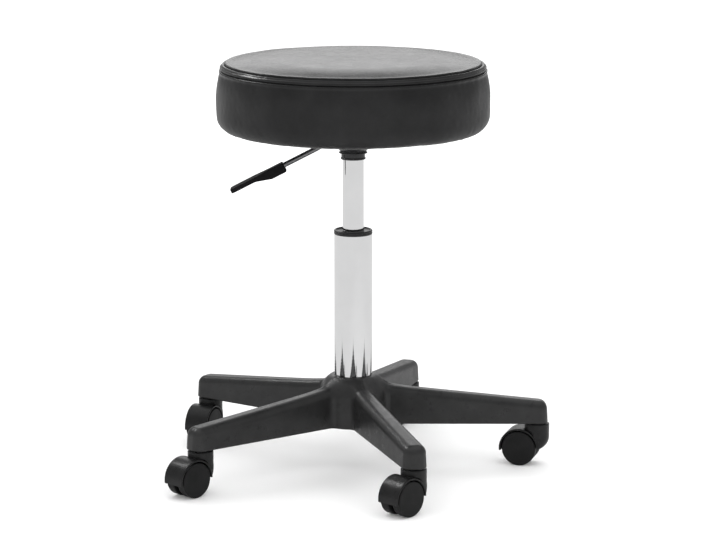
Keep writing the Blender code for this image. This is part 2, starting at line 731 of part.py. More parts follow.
def build_stand_tube():
    """The outer tube, lofted over rings that are round above, fluted below and tapered inside the hub."""
    columns = FLUTE_COUNT * 8
    facing = math.radians(FIRST_LEG_DEG - 90.0)
    turns = [2.0 * math.pi * step / columns for step in range(columns)]

    def ring_at(height, radius_of):
        return [(radius_of(turn) * math.cos(turn + facing), radius_of(turn) * math.sin(turn + facing),
                 height) for turn in turns]

    shares = (0.0, 0.4, 0.7, 0.88, 1.0)
    rings = [ring_at(TUBE_TOP, lambda turn: TUBE_RADIUS)]
    for share in shares:
        height = HUB_TOP + GAP + FLUTE_LENGTH * (1.0 - share)
        rings.append(ring_at(height, lambda turn: TUBE_RADIUS - flute_depth(turn, height)))
    rings.append(ring_at(HUB_TOP + GAP / 2, lambda turn: taper_radius(HUB_TOP)))
    bore = taper_radius(TUBE_FOOT) - TUBE_WALL
    rings.append(ring_at(TUBE_FOOT, lambda turn: taper_radius(TUBE_FOOT)))
    rings.append(ring_at(TUBE_FOOT, lambda turn: SPIGOT_RADIUS + GAP))
    rings.append(ring_at(TUBE_FOOT + TUBE_FLOOR, lambda turn: SPIGOT_RADIUS + GAP))
    rings.append(ring_at(TUBE_FOOT + TUBE_FLOOR, lambda turn: bore))
    rings.append(ring_at(HUB_TOP, lambda turn: taper_radius(HUB_TOP) - TUBE_WALL))
    rings.append(ring_at(HUB_TOP + FLUTE_LENGTH, lambda turn: TUBE_RADIUS - TUBE_WALL))
    rings.append(ring_at(TUBE_TOP, lambda turn: TUBE_RADIUS - TUBE_WALL))
    place("stand_tube", loft_mesh("stand_tube", rings, wrap=True), CHROME)


def build_guide_bush():
    bore = LIFT_RADIUS + GAP
    sleeve = TUBE_RADIUS - TUBE_WALL - GAP
    rim = TUBE_RADIUS + BUSH_LIP
    chamfer = BUSH_RIM / 4
    turned("guide_bush", [
        (rim - chamfer, BUSH_TOP),
        (rim, BUSH_TOP - chamfer),
        (rim, TUBE_TOP + GAP),
        (sleeve, TUBE_TOP + GAP),
        (sleeve, BUSH_FOOT),
        (bore, BUSH_FOOT),
        (bore, BUSH_TOP - BUSH_DISH),
        (sleeve - chamfer, BUSH_TOP - BUSH_DISH / 2),
        (sleeve, BUSH_TOP),
    ], 32, GLOSS_PLASTIC)


def build_bearing():
    bore = SPIGOT_RADIUS + GAP
    for name, foot in (("lower_race", BEARING_Z), ("upper_race", UPPER_WASHER_Z)):
        ring(name, bore, WASHER_RADIUS, foot, foot + WASHER_THICKNESS, 16, BRIGHT_STEEL)
    cage = ring("ball_cage", bore, WASHER_RADIUS, CAGE_Z - CAGE_THICKNESS / 2, CAGE_Z + CAGE_THICKNESS / 2,
                16, GLOSS_PLASTIC)
    middle = (bore + WASHER_RADIUS) / 2
    for ball in range(BALL_COUNT):
        angle = 2.0 * math.pi * ball / BALL_COUNT
        mesh = bpy.data.meshes.new("ball")
        shape = bmesh.new()
        bmesh.ops.create_uvsphere(shape, u_segments=6, v_segments=4, radius=BALL_RADIUS)
        shape.to_mesh(mesh)
        shape.free()
        join(cage, place(f"ball_{ball}", mesh, BRIGHT_STEEL,
                         at=(middle * math.cos(angle), middle * math.sin(angle), CAGE_Z)))


def build_rod():
    """The piston rod stands on the bearing, passes the tube's floor and is held there by a clip."""
    rod_foot = TUBE_FOOT - ROD_END
    clip_top = TUBE_FOOT - GAP
    clip_foot = clip_top - CLIP_THICKNESS
    groove = SPIGOT_RADIUS - CLIP_GROOVE
    piston_top = PISTON_FOOT + PISTON_LENGTH
    turned("piston_rod", [
        (0.0, piston_top),
        (ROD_RADIUS, piston_top),
        (ROD_RADIUS, ROD_SHOULDER),
        (SPIGOT_RADIUS, ROD_SHOULDER),
        (SPIGOT_RADIUS, clip_top + GAP),
        (groove, clip_top + GAP),
        (groove, clip_foot - GAP),
        (SPIGOT_RADIUS, clip_foot - GAP),
        (SPIGOT_RADIUS, rod_foot),
        (0.0, rod_foot),
    ], 16, BRIGHT_STEEL)
    ring("rod_clip", groove + GAP, CLIP_RADIUS, clip_foot, clip_top, 16, BRIGHT_STEEL)
    inside = LIFT_RADIUS - LIFT_WALL - GAP
    ring("piston", ROD_RADIUS + GAP, inside, PISTON_FOOT, piston_top, 20, GLOSS_PLASTIC)
    ring("bump_stop", ROD_RADIUS + GAP, BUMP_RADIUS, ROD_SHOULDER, BUMP_TOP, 16, RUBBER)


def lift_radius(height):
    """The pressure tube's outside, which tapers where the collar holds it."""
    along = (height - COLLAR_FOOT) / (LIFT_TOP - COLLAR_FOOT)
    return LIFT_RADIUS - LIFT_TAPER * max(along, 0.0)


def build_gas_lift():
    inside = LIFT_RADIUS - LIFT_WALL
    pin_hole = RELEASE_PIN_RADIUS + GAP
    turned("pressure_tube", [
        (lift_radius(LIFT_TOP), LIFT_TOP),
        (LIFT_RADIUS, COLLAR_FOOT),
        (LIFT_RADIUS, LIFT_FOOT),
        (inside, LIFT_FOOT),
        (inside, LIFT_TOP - LIFT_CAP),
        (pin_hole, LIFT_TOP - LIFT_CAP),
        (pin_hole, LIFT_TOP),
    ], 32, CHROME)
    ring("rod_guide", ROD_RADIUS + GAP, inside - GAP, LIFT_FOOT, LIFT_FOOT + GUIDE_LENGTH, 20, GLOSS_PLASTIC)
    dome = RELEASE_PIN_RADIUS / 2
    turned("release_pin", [
        (0.0, PIN_TOP),
        (RELEASE_PIN_RADIUS * math.sin(math.pi / 6), PIN_TOP - dome * (1 - math.cos(math.pi / 6))),
        (RELEASE_PIN_RADIUS * math.sin(math.pi / 3), PIN_TOP - dome * (1 - math.cos(math.pi / 3))),
        (RELEASE_PIN_RADIUS, PIN_TOP - dome),
        (RELEASE_PIN_RADIUS, PIN_TOP - RELEASE_PIN_LENGTH),
        (0.0, PIN_TOP - RELEASE_PIN_LENGTH),
    ], 12, BRIGHT_STEEL)


# Collar, seat plate and lever


def build_collar():
    """The socket that the gas lift wedges into: a flared top on a ribbed neck."""
    top = COLLAR_FOOT + COLLAR_HEIGHT
    rib_foot = COLLAR_FOOT + COLLAR_FOOT_HEIGHT
    rib_top = rib_foot + COLLAR_RIB_HEIGHT
    neck = COLLAR_FOOT_RADIUS
    flare = COLLAR_TOP_RADIUS - COLLAR_RIB_RADIUS
    rise = top - rib_top
    outside = [(COLLAR_RIB_RADIUS + flare * (1.0 - math.sin(turn)), top - rise * (1.0 - math.cos(turn)))
               for turn in (0.0, math.pi / 6, math.pi / 3, math.pi / 2)]
    turned("seat_collar", outside + [
        (COLLAR_RIB_RADIUS, rib_foot),
        (neck - GAP, rib_foot),
        (neck - GAP, COLLAR_FOOT + COLLAR_RIB_HEIGHT),
        (neck, COLLAR_FOOT + COLLAR_RIB_HEIGHT),
        (neck, COLLAR_FOOT),
        (lift_radius(COLLAR_FOOT) + GAP, COLLAR_FOOT),
        (lift_radius(top) + GAP, top),
    ], 24, BLACK_STEEL)


def bolt_spots():
    half = BOLT_SPACING / 2
    turn = Matrix.Rotation(math.radians(LEVER_YAW_DEG), 3, "Z")
    return [turn @ Vector((x * half, y * half, 0.0)) for x, y in ((1, 1), (-1, 1), (-1, -1), (1, -1))]


def build_seat_plate():
    """A pressed plate: a flange under the board, a pan below it, ears for the lever and its slot."""
    yaw = (0.0, 0.0, math.radians(LEVER_YAW_DEG))
    half = PLATE_SIDE / 2
    inner = half - PLATE_CORNER
    outline = []
    for x, y, start in ((1, 1, 0.0), (-1, 1, 90.0), (-1, -1, 180.0), (1, -1, 270.0)):
        outline += arc((x * inner, y * inner), PLATE_CORNER, start, start + 90.0, 4)
    flange = outline_mesh("seat_plate", outline, PLATE_THICKNESS / 2)
    middle = PLATE_TOP - PLATE_THICKNESS / 2
    plate = place("seat_plate", flange, BLACK_STEEL, at=(0.0, 0.0, middle), turn=yaw)
    pan_floor = PAN_UNDERSIDE + PLATE_THICKNESS
    inside = PAN_RADIUS - PLATE_THICKNESS
    lift_hole = lift_radius(LIFT_TOP) + GAP
    opening = cylinder("pan_opening", inside + PLATE_THICKNESS / 2, PAN_UNDERSIDE,
                       PLATE_TOP + PLATE_THICKNESS, 24, BLACK_STEEL)
    cut(plate, opening)
    pan = turned("pan", [
        (PAN_RADIUS, PLATE_TOP),
        (PAN_RADIUS, PAN_UNDERSIDE + PLATE_THICKNESS),
        (PAN_RADIUS - PLATE_THICKNESS, PAN_UNDERSIDE),
        (lift_hole, PAN_UNDERSIDE),
        (lift_hole, pan_floor),
        (inside - PLATE_THICKNESS, pan_floor),
        (inside, pan_floor + PLATE_THICKNESS),
        (inside, PLATE_TOP),
    ], 24, BLACK_STEEL)
    join(plate, pan)
    slot_half = LEVER_ROD_RADIUS + LEVER_SLOT_MARGIN
    slot_start = LEVER_PIVOT_REACH
    slot_top = LEVER_Z + LEVER_ROD_RADIUS + LEVER_SLOT_MARGIN / 2
    slot = box("lever_slot", (slot_start, -slot_half, PAN_UNDERSIDE - PLATE_THICKNESS),
               (PAN_RADIUS + PLATE_THICKNESS, slot_half, slot_top), BLACK_STEEL, turn=yaw)
    cut(plate, slot)
    for name, way in (("ear_left", 1.0), ("ear_right", -1.0)):
        near = way * EAR_SPACING / 2
        far = way * (EAR_SPACING / 2 + EAR_THICKNESS)
        ear = box(name, (LEVER_PIVOT_REACH - EAR_HALF_LENGTH, min(near, far), pan_floor - EMBED),
                  (LEVER_PIVOT_REACH + EAR_HALF_LENGTH, max(near, far), LEVER_Z + EAR_TOP), BLACK_STEEL,
                  turn=yaw)
        join(plate, ear)
    holes = [cylinder("bolt_hole", BOLT_RADIUS + BOLT_CLEARANCE, PLATE_TOP - 2 * PLATE_THICKNESS,
                      PLATE_TOP + PLATE_THICKNESS, 12, BLACK_STEEL, at=spot) for spot in bolt_spots()]
    pivot = Vector((LEVER_PIVOT_REACH, 0.0, LEVER_Z))
    pivot.rotate(Matrix.Rotation(yaw[2], 3, "Z"))
    across = EAR_SPACING / 2 + 2 * EAR_THICKNESS
    pin_hole = cylinder("pivot_hole", PIVOT_PIN_RADIUS + GAP, -across, across, 12, BLACK_STEEL, at=pivot,
                        turn=(math.pi / 2, 0.0, yaw[2]))
    cut(plate, *holes, pin_hole)


def build_seat_bolts():
    head_top = PLATE_TOP - PLATE_THICKNESS - GAP
    shank_top = BOARD_TOP - EMBED
    for index, spot in enumerate(bolt_spots(), start=1):
        turned(f"seat_bolt_{index}", [
            (0.0, shank_top),
            (BOLT_RADIUS, shank_top),
            (BOLT_RADIUS, head_top),
            (BOLT_HEAD_RADIUS, head_top),
            (BOLT_HEAD_RADIUS, head_top - BOLT_HEAD_HEIGHT),
            (0.0, head_top - BOLT_HEAD_HEIGHT),
        ], 12, BRIGHT_STEEL, at=spot)


def lever_path(end):
    """The rod's centre line from the pivot's frame: level over the pin, bent, then sloping to the paddle."""
    path = [(-LEVER_PIVOT_REACH - LEVER_NOSE, 0.0, 0.0), (0.0, 0.0, 0.0)]
    centre = (0.0, -LEVER_BEND_RADIUS)
    for x, z in arc(centre, LEVER_BEND_RADIUS, 90.0, 90.0 - LEVER_SLOPE_DEG, 3)[1:]:
        path.append((x, 0.0, z))
    last = Vector(path[-1])
    path.append(tuple(last + lever_slope() * (end - last.x) / lever_slope().x))
    return path


def lever_slope():
    slope = math.radians(LEVER_SLOPE_DEG)
    return Vector((math.cos(slope), 0.0, -math.sin(slope)))


def paddle_ring(along, low, high, half_width):
    """One section of the paddle, with its four long edges eased."""
    e = PADDLE_EDGE
    corners = [(half_width - e, high), (half_width, high - e), (half_width, low + e), (half_width - e, low),
               (e - half_width, low), (-half_width, low + e), (-half_width, high - e), (e - half_width, high)]
    return [(along, y, z) for y, z in corners]


def paddle_mesh():
    """A block that takes the rod, thinned by a wedge to a broad flat blade with a rounded end."""
    blade_low = PADDLE_TOP - PADDLE_BLADE_THICKNESS
    wide = PADDLE_BLADE_HALF_WIDTH
    wedge_end = PADDLE_BLOCK_LENGTH + PADDLE_WEDGE_LENGTH
    sections = [(0.0, -PADDLE_BLOCK_BOTTOM, PADDLE_BLOCK_HALF_WIDTH),
                (PADDLE_BLOCK_LENGTH, -PADDLE_BLOCK_BOTTOM, PADDLE_BLOCK_HALF_WIDTH),
                (wedge_end, blade_low, wide)]
    for turn in (0.0, math.pi / 6, math.pi / 3, math.pi / 2.2):
        sections.append((PADDLE_LENGTH - PADDLE_TIP_ROUND * (1.0 - math.sin(turn)), blade_low,
                         wide - PADDLE_TIP_ROUND * (1.0 - math.cos(turn))))
    rings = [paddle_ring(along, low, PADDLE_TOP, half) for along, low, half in sections]
    middles = [[(points[0][0], 0.0, 0.0)] * len(points) for points in (rings[0], rings[-1])]
    return loft_mesh("lever_paddle", middles[:1] + rings + middles[1:])


def build_lever():
    yaw = math.radians(LEVER_YAW_DEG)
    pivot = Vector((LEVER_PIVOT_REACH, 0.0, LEVER_Z))
    pivot.rotate(Matrix.Rotation(yaw, 3, "Z"))
    axis = carrier("lever_axis", pivot, yaw)
    slope = lever_slope()
    paddle_start = LEVER_PADDLE_AT
    rod_end = paddle_start + LEVER_ROD_SEAT * slope.x
    bar = rod_mesh("lever_rod", lever_path(rod_end), LEVER_ROD_RADIUS)
    rod = place("lever_rod", bar, BLACK_STEEL, parent=axis)
    across = EAR_SPACING / 2 + EAR_THICKNESS
    cut(rod, cylinder("rod_pivot_hole", PIVOT_PIN_RADIUS + GAP, -across, across, 12, BLACK_STEEL,
                      parent=axis, turn=(math.pi / 2, 0.0, 0.0)))
    bend = Vector(lever_path(rod_end)[-2])
    start = bend + slope * (paddle_start - bend.x) / slope.x
    tilt = (0.0, math.radians(LEVER_SLOPE_DEG), 0.0)
    paddle = place("lever_paddle", paddle_mesh(), GLOSS_PLASTIC, parent=axis, at=start, turn=tilt)
    along_rod = (0.0, math.pi / 2 + math.radians(LEVER_SLOPE_DEG), 0.0)
    socket = cylinder("paddle_socket", LEVER_ROD_RADIUS + GAP, -LEVER_ROD_SEAT, LEVER_ROD_SEAT + GAP, 12,
                      GLOSS_PLASTIC, parent=axis, at=start, turn=along_rod)
    cut(paddle, socket)
    cylinder("lever_pivot_pin", PIVOT_PIN_RADIUS, -across, across, 12, BRIGHT_STEEL, at=pivot,
             turn=(math.pi / 2, 0.0, yaw))


# Seat


def pad_profile(inset, seams):
    """The cushion's half section, inset evenly: crown, sewn shoulder, bulging side and rounded skirt."""
    edge_top = SEAT_TOP - SEAT_CROWN
    shoulder_at = SEAT_RADIUS - SHOULDER_TUCK - SHOULDER_RADIUS
    profile = [(0.0, SEAT_TOP - inset), (SEAT_FLAT, SEAT_TOP - inset)]
    for share in (0.4, 0.7) if seams else (0.55,):
        radius = SEAT_FLAT + (shoulder_at - SEAT_FLAT) * share
        profile.append((radius, SEAT_TOP - SEAT_CROWN * share**2 - inset))
    centre = (shoulder_at, edge_top - SHOULDER_RADIUS)
    if seams:
        stops = [(90.0, 0.0)]
        for seam in (TOP_SEAM_DEG, SIDE_SEAM_DEG):
            stops += [(seam + SEAM_HALF_WIDTH_DEG, 0.0), (seam, SEAM_DEPTH)]
            stops.append((seam - SEAM_HALF_WIDTH_DEG, 0.0))
        stops.append((0.0, 0.0))
    else:
        stops = [(90.0, 0.0), (45.0, 0.0), (0.0, 0.0)]
    for degrees, sink in stops:
        profile += arc(centre, SHOULDER_RADIUS - inset - sink, degrees, degrees, 1)[:1]
    skirt = (SEAT_RADIUS - SKIRT_RADIUS, SEAT_BOTTOM + SKIRT_RADIUS)
    side_foot = skirt[1] + SHOULDER_RADIUS
    for share in (0.7, 0.4, 0.0) if seams else (0.6, 0.0):
        bulge = SEAT_RADIUS - SHOULDER_TUCK * share**SIDE_FULLNESS
        profile.append((bulge - inset, side_foot + (centre[1] - side_foot) * share))
    profile += arc(skirt, SKIRT_RADIUS - inset, 0.0, -90.0, 4 if seams else 3)
    return profile


def build_seat():
    hem = SEAT_RADIUS - SKIRT_RADIUS - HEM_WIDTH
    outside = pad_profile(0.0, True)
    inside = pad_profile(COVER_THICKNESS, False)
    hem_edge = [(hem, SEAT_BOTTOM), (hem, SEAT_BOTTOM + COVER_THICKNESS)]
    turned("seat_cover", outside + hem_edge + inside[::-1], SEAT_SIDES, LEATHERETTE)
    board_well = BOARD_RADIUS + GAP
    foam = pad_profile(COVER_THICKNESS + GAP, False)
    floor = foam[-1][1]
    well = [(board_well, floor), (board_well, BOARD_TOP + GAP), (0.0, BOARD_TOP + GAP)]
    turned("seat_foam", foam + well, SEAT_SIDES, FOAM)
    board = cylinder("seat_board", BOARD_RADIUS, BOARD_BOTTOM, BOARD_TOP, SEAT_SIDES, PLYWOOD)
    lining_top = SEAT_BOTTOM + COVER_THICKNESS
    lining = cylinder("bottom_lining", hem - GAP, SEAT_BOTTOM, lining_top, SEAT_SIDES, LINING)
    hole_top = BOARD_TOP - EMBED + GAP
    for piece in (board, lining):
        cut(piece, *[cylinder("screw_hole", BOLT_RADIUS + GAP, SEAT_BOTTOM - BOLT_RADIUS, hole_top, 12,
                              PLYWOOD, at=spot) for spot in bolt_spots()])


build_casters()
build_base()
build_stand_tube()
build_guide_bush()
build_bearing()
build_rod()
build_gas_lift()
build_collar()
build_seat_plate()
build_seat_bolts()
build_lever()
build_seat()
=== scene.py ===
"""Looks of the rolling stool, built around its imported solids.

Laid out as an add-on and run as a script. Metres, +Z up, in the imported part's own frame.
"""

import functools
import json
import math

import bmesh
import bpy
import numpy as np
from bpy.props import FloatProperty, FloatVectorProperty, PointerProperty
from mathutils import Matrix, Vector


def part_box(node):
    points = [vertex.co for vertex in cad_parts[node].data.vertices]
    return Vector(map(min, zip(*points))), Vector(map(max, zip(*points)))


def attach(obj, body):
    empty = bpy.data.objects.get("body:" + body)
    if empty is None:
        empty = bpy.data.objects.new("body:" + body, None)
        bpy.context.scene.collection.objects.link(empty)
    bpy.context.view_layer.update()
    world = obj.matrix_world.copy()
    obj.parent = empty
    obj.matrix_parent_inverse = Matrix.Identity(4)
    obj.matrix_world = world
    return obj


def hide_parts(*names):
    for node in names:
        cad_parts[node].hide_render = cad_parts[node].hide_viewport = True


bl_info = {
    "name": "Rolling stool looks",
    "version": (1, 0, 0),
    "blender": (4, 5, 0),
    "location": "3D View > Sidebar > Stool",
    "description": "Sewn cushion, chromed column, moulded base and casters around the packed solids",
    "category": "Object",
}

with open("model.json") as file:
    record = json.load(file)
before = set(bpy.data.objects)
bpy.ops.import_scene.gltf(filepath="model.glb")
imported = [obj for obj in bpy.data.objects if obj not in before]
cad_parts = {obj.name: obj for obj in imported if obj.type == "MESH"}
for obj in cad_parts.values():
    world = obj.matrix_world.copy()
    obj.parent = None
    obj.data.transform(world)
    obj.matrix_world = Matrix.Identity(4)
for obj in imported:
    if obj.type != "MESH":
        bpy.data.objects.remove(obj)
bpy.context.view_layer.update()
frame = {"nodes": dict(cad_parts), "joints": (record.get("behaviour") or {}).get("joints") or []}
JOINTS = {joint["name"]: joint for joint in frame["joints"]}
CASTERS = range(1, 6)
FRONT_DEG = 14.0
FIT = 0.0003

# Heights and radii read from the solids
SEAT_LOW, SEAT_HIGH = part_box("seat_cover")
BOARD_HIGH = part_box("seat_board")[1]
BASE_LOW, BASE_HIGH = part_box("star_base")
TUBE_LOW, TUBE_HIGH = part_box("stand_tube")
BUSH_LOW, BUSH_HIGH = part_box("guide_bush")
LIFT_LOW, LIFT_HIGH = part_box("pressure_tube")
COLLAR_LOW, COLLAR_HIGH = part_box("seat_collar")
LINING_LOW, LINING_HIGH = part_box("bottom_lining")

# Cushion
SEAT_RADIUS = SEAT_HIGH.x
SEAT_TOP = SEAT_HIGH.z
SEAT_BOTTOM = SEAT_LOW.z
SEAT_CROWN = 0.0040
CROWN_SHARE = 0.36
SHOULDER_RADIUS = 0.0155
SHOULDER_TUCK = 0.0042
SHOULDER_START_DEG = 72.0
ROLL_WIDTH = 0.020
SKIRT_RADIUS = 0.0215
TOP_SEAM_DEG = 57.0
SIDE_SEAM_DEG = 21.5
JOIN_DEG = 242.6
HEM_RADIUS = SEAT_RADIUS - 0.049
HEM_THICKNESS = 0.0028
SWELL_FRAMES = 20

# Lever
LEVER_SLOPE = math.radians(27.2)
LEVER_BEND = 0.012
PADDLE_AT = 0.0715
PADDLE_LENGTH = 0.077

# Column
TUBE_RADIUS = 0.025
TUBE_WALL = 0.0018
TAPER_TOP = 0.0233
TAPER_FOOT = 0.0217
FLUTES = 10
FLUTE_LENGTH = 0.0635
LIFT_RADIUS = 0.014
LIFT_WALL = 0.002
SPIGOT_RADIUS = 0.004

# Base
HUB_TOP = BASE_HIGH.z
UNDERSIDE = BASE_LOW.z
LEG_PITCH_DEG = 72.0
LEG_ANGLES = np.radians(FRONT_DEG + LEG_PITCH_DEG * np.arange(5))
STEM_CIRCLE = 0.2428
HUB_RADIUS = 0.046
HUB_SHOULDER = 0.024
HUB_SKIRT = 0.035
HUB_REACH = 0.06
RIDGE_SOFTNESS = 0.006
LEG_ROOT_HALF = 0.0145
LEG_TIP_HALF = 0.016
LEG_TIP_CORNER = 0.012
LEG_TIP_REACH = 0.0152
LEG_ROOT_HEIGHT = 0.0503
LEG_TIP_HEIGHT = 0.030
LEG_FILLET = 0.0105
LEG_DRAFT = 0.0009
LEG_WALL = 0.003
LEG_EDGE = 0.0012
CROTCH_RADIUS = 0.010
RIB_HALF = 0.0011

# Casters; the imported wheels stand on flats, and round ones of this radius reach the floor too
WHEEL_SIDES = 20
WHEEL_RADIUS = 0.023 * math.cos(math.pi / WHEEL_SIDES)
WHEEL_WIDTH = 0.0131
WHEEL_INNER = 0.0038
WHEEL_RIM = 0.004
WELL_RADIUS = 0.0245
HOOD_RADIUS = 0.0269
HOOD_HALF_WIDTH = 0.0165
HOOD_TOP = WHEEL_RADIUS + HOOD_RADIUS + 0.0066
HOOD_LOW_DEG = -8.0
TRAIL = 0.020
NECK_FRONT = 0.0175
NECK_BACK = 0.0150
NECK_HALF_WIDTH = 0.0158
NECK_TUCK = 0.0165
NECK_EASE = 0.0014

# Stage
MIDDLE = (0.0, 0.0, 0.3)
FLOOR_REACH = 30.0
FLOOR_DROP = 0.0004
OVERHEAD_AT = (-0.2, 0.2, 3.0)
BACK_LIGHT_DISTANCE = 3.6
BACK_LIGHT_HEIGHT = 1.52
SIDE_LIGHT_AT = (-1.94, 0.86, 2.2)
SIDE_LIGHT_TARGET = (-0.12, -0.1, 0.52)
SENSOR_WIDTH = 36.0
CAMERA_YAW = 0.00164

# What settings of one kind share
COLOUR = {"subtype": "COLOR", "size": 3, "min": 0.0, "max": 1.0}
LENGTH = {"unit": "LENGTH"}

# Stands a flat plate up: its X stays and its Y becomes Z
UPRIGHT = np.array([[1.0, 0.0, 0.0], [0.0, 0.0, 1.0], [0.0, 1.0, 0.0]])
# Stands a flat plate across: its X becomes Y and its Y becomes Z
ACROSS = np.array([[0.0, 0.0, 1.0], [1.0, 0.0, 0.0], [0.0, 1.0, 0.0]])


# Shapes


def around(count):
    """Even angles of one full turn."""
    return np.linspace(0.0, 2 * np.pi, count, endpoint=False)


def clamped(value):
    """The value held between nought and one."""
    return np.clip(value, 0.0, 1.0)


def smooth(share):
    """A step with level ends: three times the square less twice the cube."""
    return share**2 * (3 - 2 * share)


def bell(distance, width):
    """A bell curve of unit height: e to the power of minus the square of distance by width."""
    return np.exp(-((distance / width) ** 2))


def arc(centre, radius, start_deg, end_deg, steps):
    """Points at even angles on a circle, both ends among them."""
    turn = np.radians(np.linspace(start_deg, end_deg, steps + 1))
    return np.column_stack([centre[0] + radius * np.cos(turn), centre[1] + radius * np.sin(turn)])


def read_off(wanted, along, points):
    """The points of a flat line at the wanted distances along it."""
    return np.column_stack([np.interp(wanted, along, points[:, k]) for k in (0, 1)])


def normals(line, along):
    """Unit normals of a flat line: its direction at each point, turned a quarter to the left."""
    slope = np.column_stack([np.gradient(line[:, k], along) for k in (0, 1)])
    slope /= np.linalg.norm(slope, axis=1)[:, None]
    return np.column_stack([-slope[:, 1], slope[:, 0]])


def eased(corners, ease, steps=4, closed=False):
    """Rounds a polyline's corners: each becomes a parabola between points a set way before and after it."""
    corners = np.asarray(corners, float)
    back = np.roll(corners, 1, -2) - corners
    ahead = np.roll(corners, -1, -2) - corners
    back_length = np.linalg.norm(back, axis=-1)
    ahead_length = np.linalg.norm(ahead, axis=-1)
    reach = np.minimum(ease, 0.4 * np.minimum(back_length, ahead_length))
    if not closed:
        reach[..., [0, -1]] = 0.0
    reach = reach[..., None, None]
    middle = corners[..., None, :]
    back = (back / back_length[..., None])[..., None, :]
    ahead = (ahead / ahead_length[..., None])[..., None, :]
    t = np.linspace(0.0, 1.0, steps + 1)[:, None]
    start, end = middle + back * reach, middle + ahead * reach
    curve = (1 - t) ** 2 * start + 2 * t * (1 - t) * middle + t**2 * end
    support = 1.2 * reach
    rows = np.concatenate([middle + back * support, curve, middle + ahead * support], -2)
    return rows.reshape(*corners.shape[:-2], -1, 2)


def ringed(radius, angle, height):
    """Points round Z, each at its radius, angle and height."""
    return np.stack(np.broadcast_arrays(radius * np.cos(angle), radius * np.sin(angle), height), -1)


def with_rows(radius, height, marks, rows):
    """Grids of radius and height with level rings added below, and the marks with noughts for them."""
    rows = np.asarray(rows)
    width = radius.shape[1]
    radius = np.concatenate([radius, np.repeat(rows[:, :1], width, 1)])
    height = np.concatenate([height, np.repeat(rows[:, 1:], width, 1)])
    blank = np.zeros((len(rows), width))
    return radius, height, {label: np.concatenate([mark, blank]) for label, mark in marks.items()}


def shell(points, wrap_rows=False, wrap_columns=True):
    """A skin over a grid of points: one quad between each four neighbours."""
    count = points.shape[:2]
    index = np.arange(count[0] * count[1]).reshape(count)
    near = index if wrap_rows else index[:-1]
    far = np.roll(index, -1, 0) if wrap_rows else index[1:]
    if wrap_columns:
        quads = np.stack([near, np.roll(near, -1, 1), np.roll(far, -1, 1), far], -1)
    else:
        quads = np.stack([near[:, :-1], near[:, 1:], far[:, 1:], far[:, :-1]], -1)
    return points.reshape(-1, 3), quads.reshape(-1, 4)


def turned(profile, sides=96, closed=False):
    """A surface of revolution: each (radius, height) of the profile is carried round Z."""
    profile = np.asarray(profile, float)
    return shell(ringed(profile[:, :1], around(sides), profile[:, 1:]), wrap_rows=closed)


def lathed(corners, ease, sides=128):
    """A ring of revolution: a closed section with eased corners, turned."""
    return turned(eased(corners, ease, steps=3, closed=True), sides, closed=True)


def swept(sections):
    """A tube over rings of one count, its two ends closed on their middles."""
    ends = [np.repeat(ring.mean(0)[None], len(ring), 0)[None] for ring in (sections[0], sections[-1])]
    return shell(np.concatenate([ends[0], sections, ends[1]]))


def slab(outline, half, ease=0.0004):
    """A flat plate: a convex outline in XY, carried through its thickness with eased edges."""
    outline = np.asarray(outline, float)
    middle = outline.mean(0)
    away = outline - middle
    inside = middle + away * (1 - ease / np.linalg.norm(away, axis=1))[:, None]
    levels = ((inside, -half), (outline, ease - half), (outline, half - ease), (inside, half))
    return swept(np.stack([np.column_stack([flat, np.full(len(flat), height)]) for flat, height in levels]))


def moved(part, turn=None, offset=(0.0, 0.0, 0.0)):
    """The shell turned by a 3 by 3 matrix, then shifted."""
    points, faces = part
    if turn is not None:
        points = points @ np.asarray(turn, float).T
    return points + np.asarray(offset, float), faces


def about_z(angle):
    """The matrix of a turn round Z."""
    c, s = math.cos(angle), math.sin(angle)
    return np.array([[c, -s, 0.0], [s, c, 0.0], [0.0, 0.0, 1.0]])


def ripple(angle, along, seed, count, turns, length):
    """Uneven waves of unit size: a sum of cosines in the angle and the way along, seeded."""
    rng = np.random.default_rng(seed)
    total = np.zeros(np.broadcast_shapes(angle.shape, along.shape))
    lobes = rng.integers(*turns, count)
    paces = rng.uniform(-1, 1, count) * 2 * np.pi / length
    phases = rng.uniform(0, 2 * np.pi, count)
    for lobe, pace, phase in zip(lobes, paces, phases):
        total = total + np.cos(lobe * angle + pace * along + phase)
    return total / math.sqrt(count / 2)


def joint_at(name):
    """Where a joint's axis lies."""
    return np.array(JOINTS[name]["pos_m"])


def new_mesh(name, points, faces):
    mesh = bpy.data.meshes.new(name)
    mesh.from_pydata(points.tolist(), [], faces)
    return mesh


def faced_out(mesh, weld=None):
    """Welds points that lie within a distance, where one is given, and turns the faces outwards."""
    shape = bmesh.new()
    shape.from_mesh(mesh)
    if weld:
        bmesh.ops.remove_doubles(shape, verts=shape.verts, dist=weld)
        bmesh.ops.dissolve_degenerate(shape, edges=shape.edges, dist=weld)
    bmesh.ops.recalc_face_normals(shape, faces=shape.faces)
    shape.to_mesh(mesh)
    shape.free()


def placed(name, data):
    """A new object in the scene."""
    made = bpy.data.objects.new(name, data)
    bpy.context.scene.collection.objects.link(made)
    return made


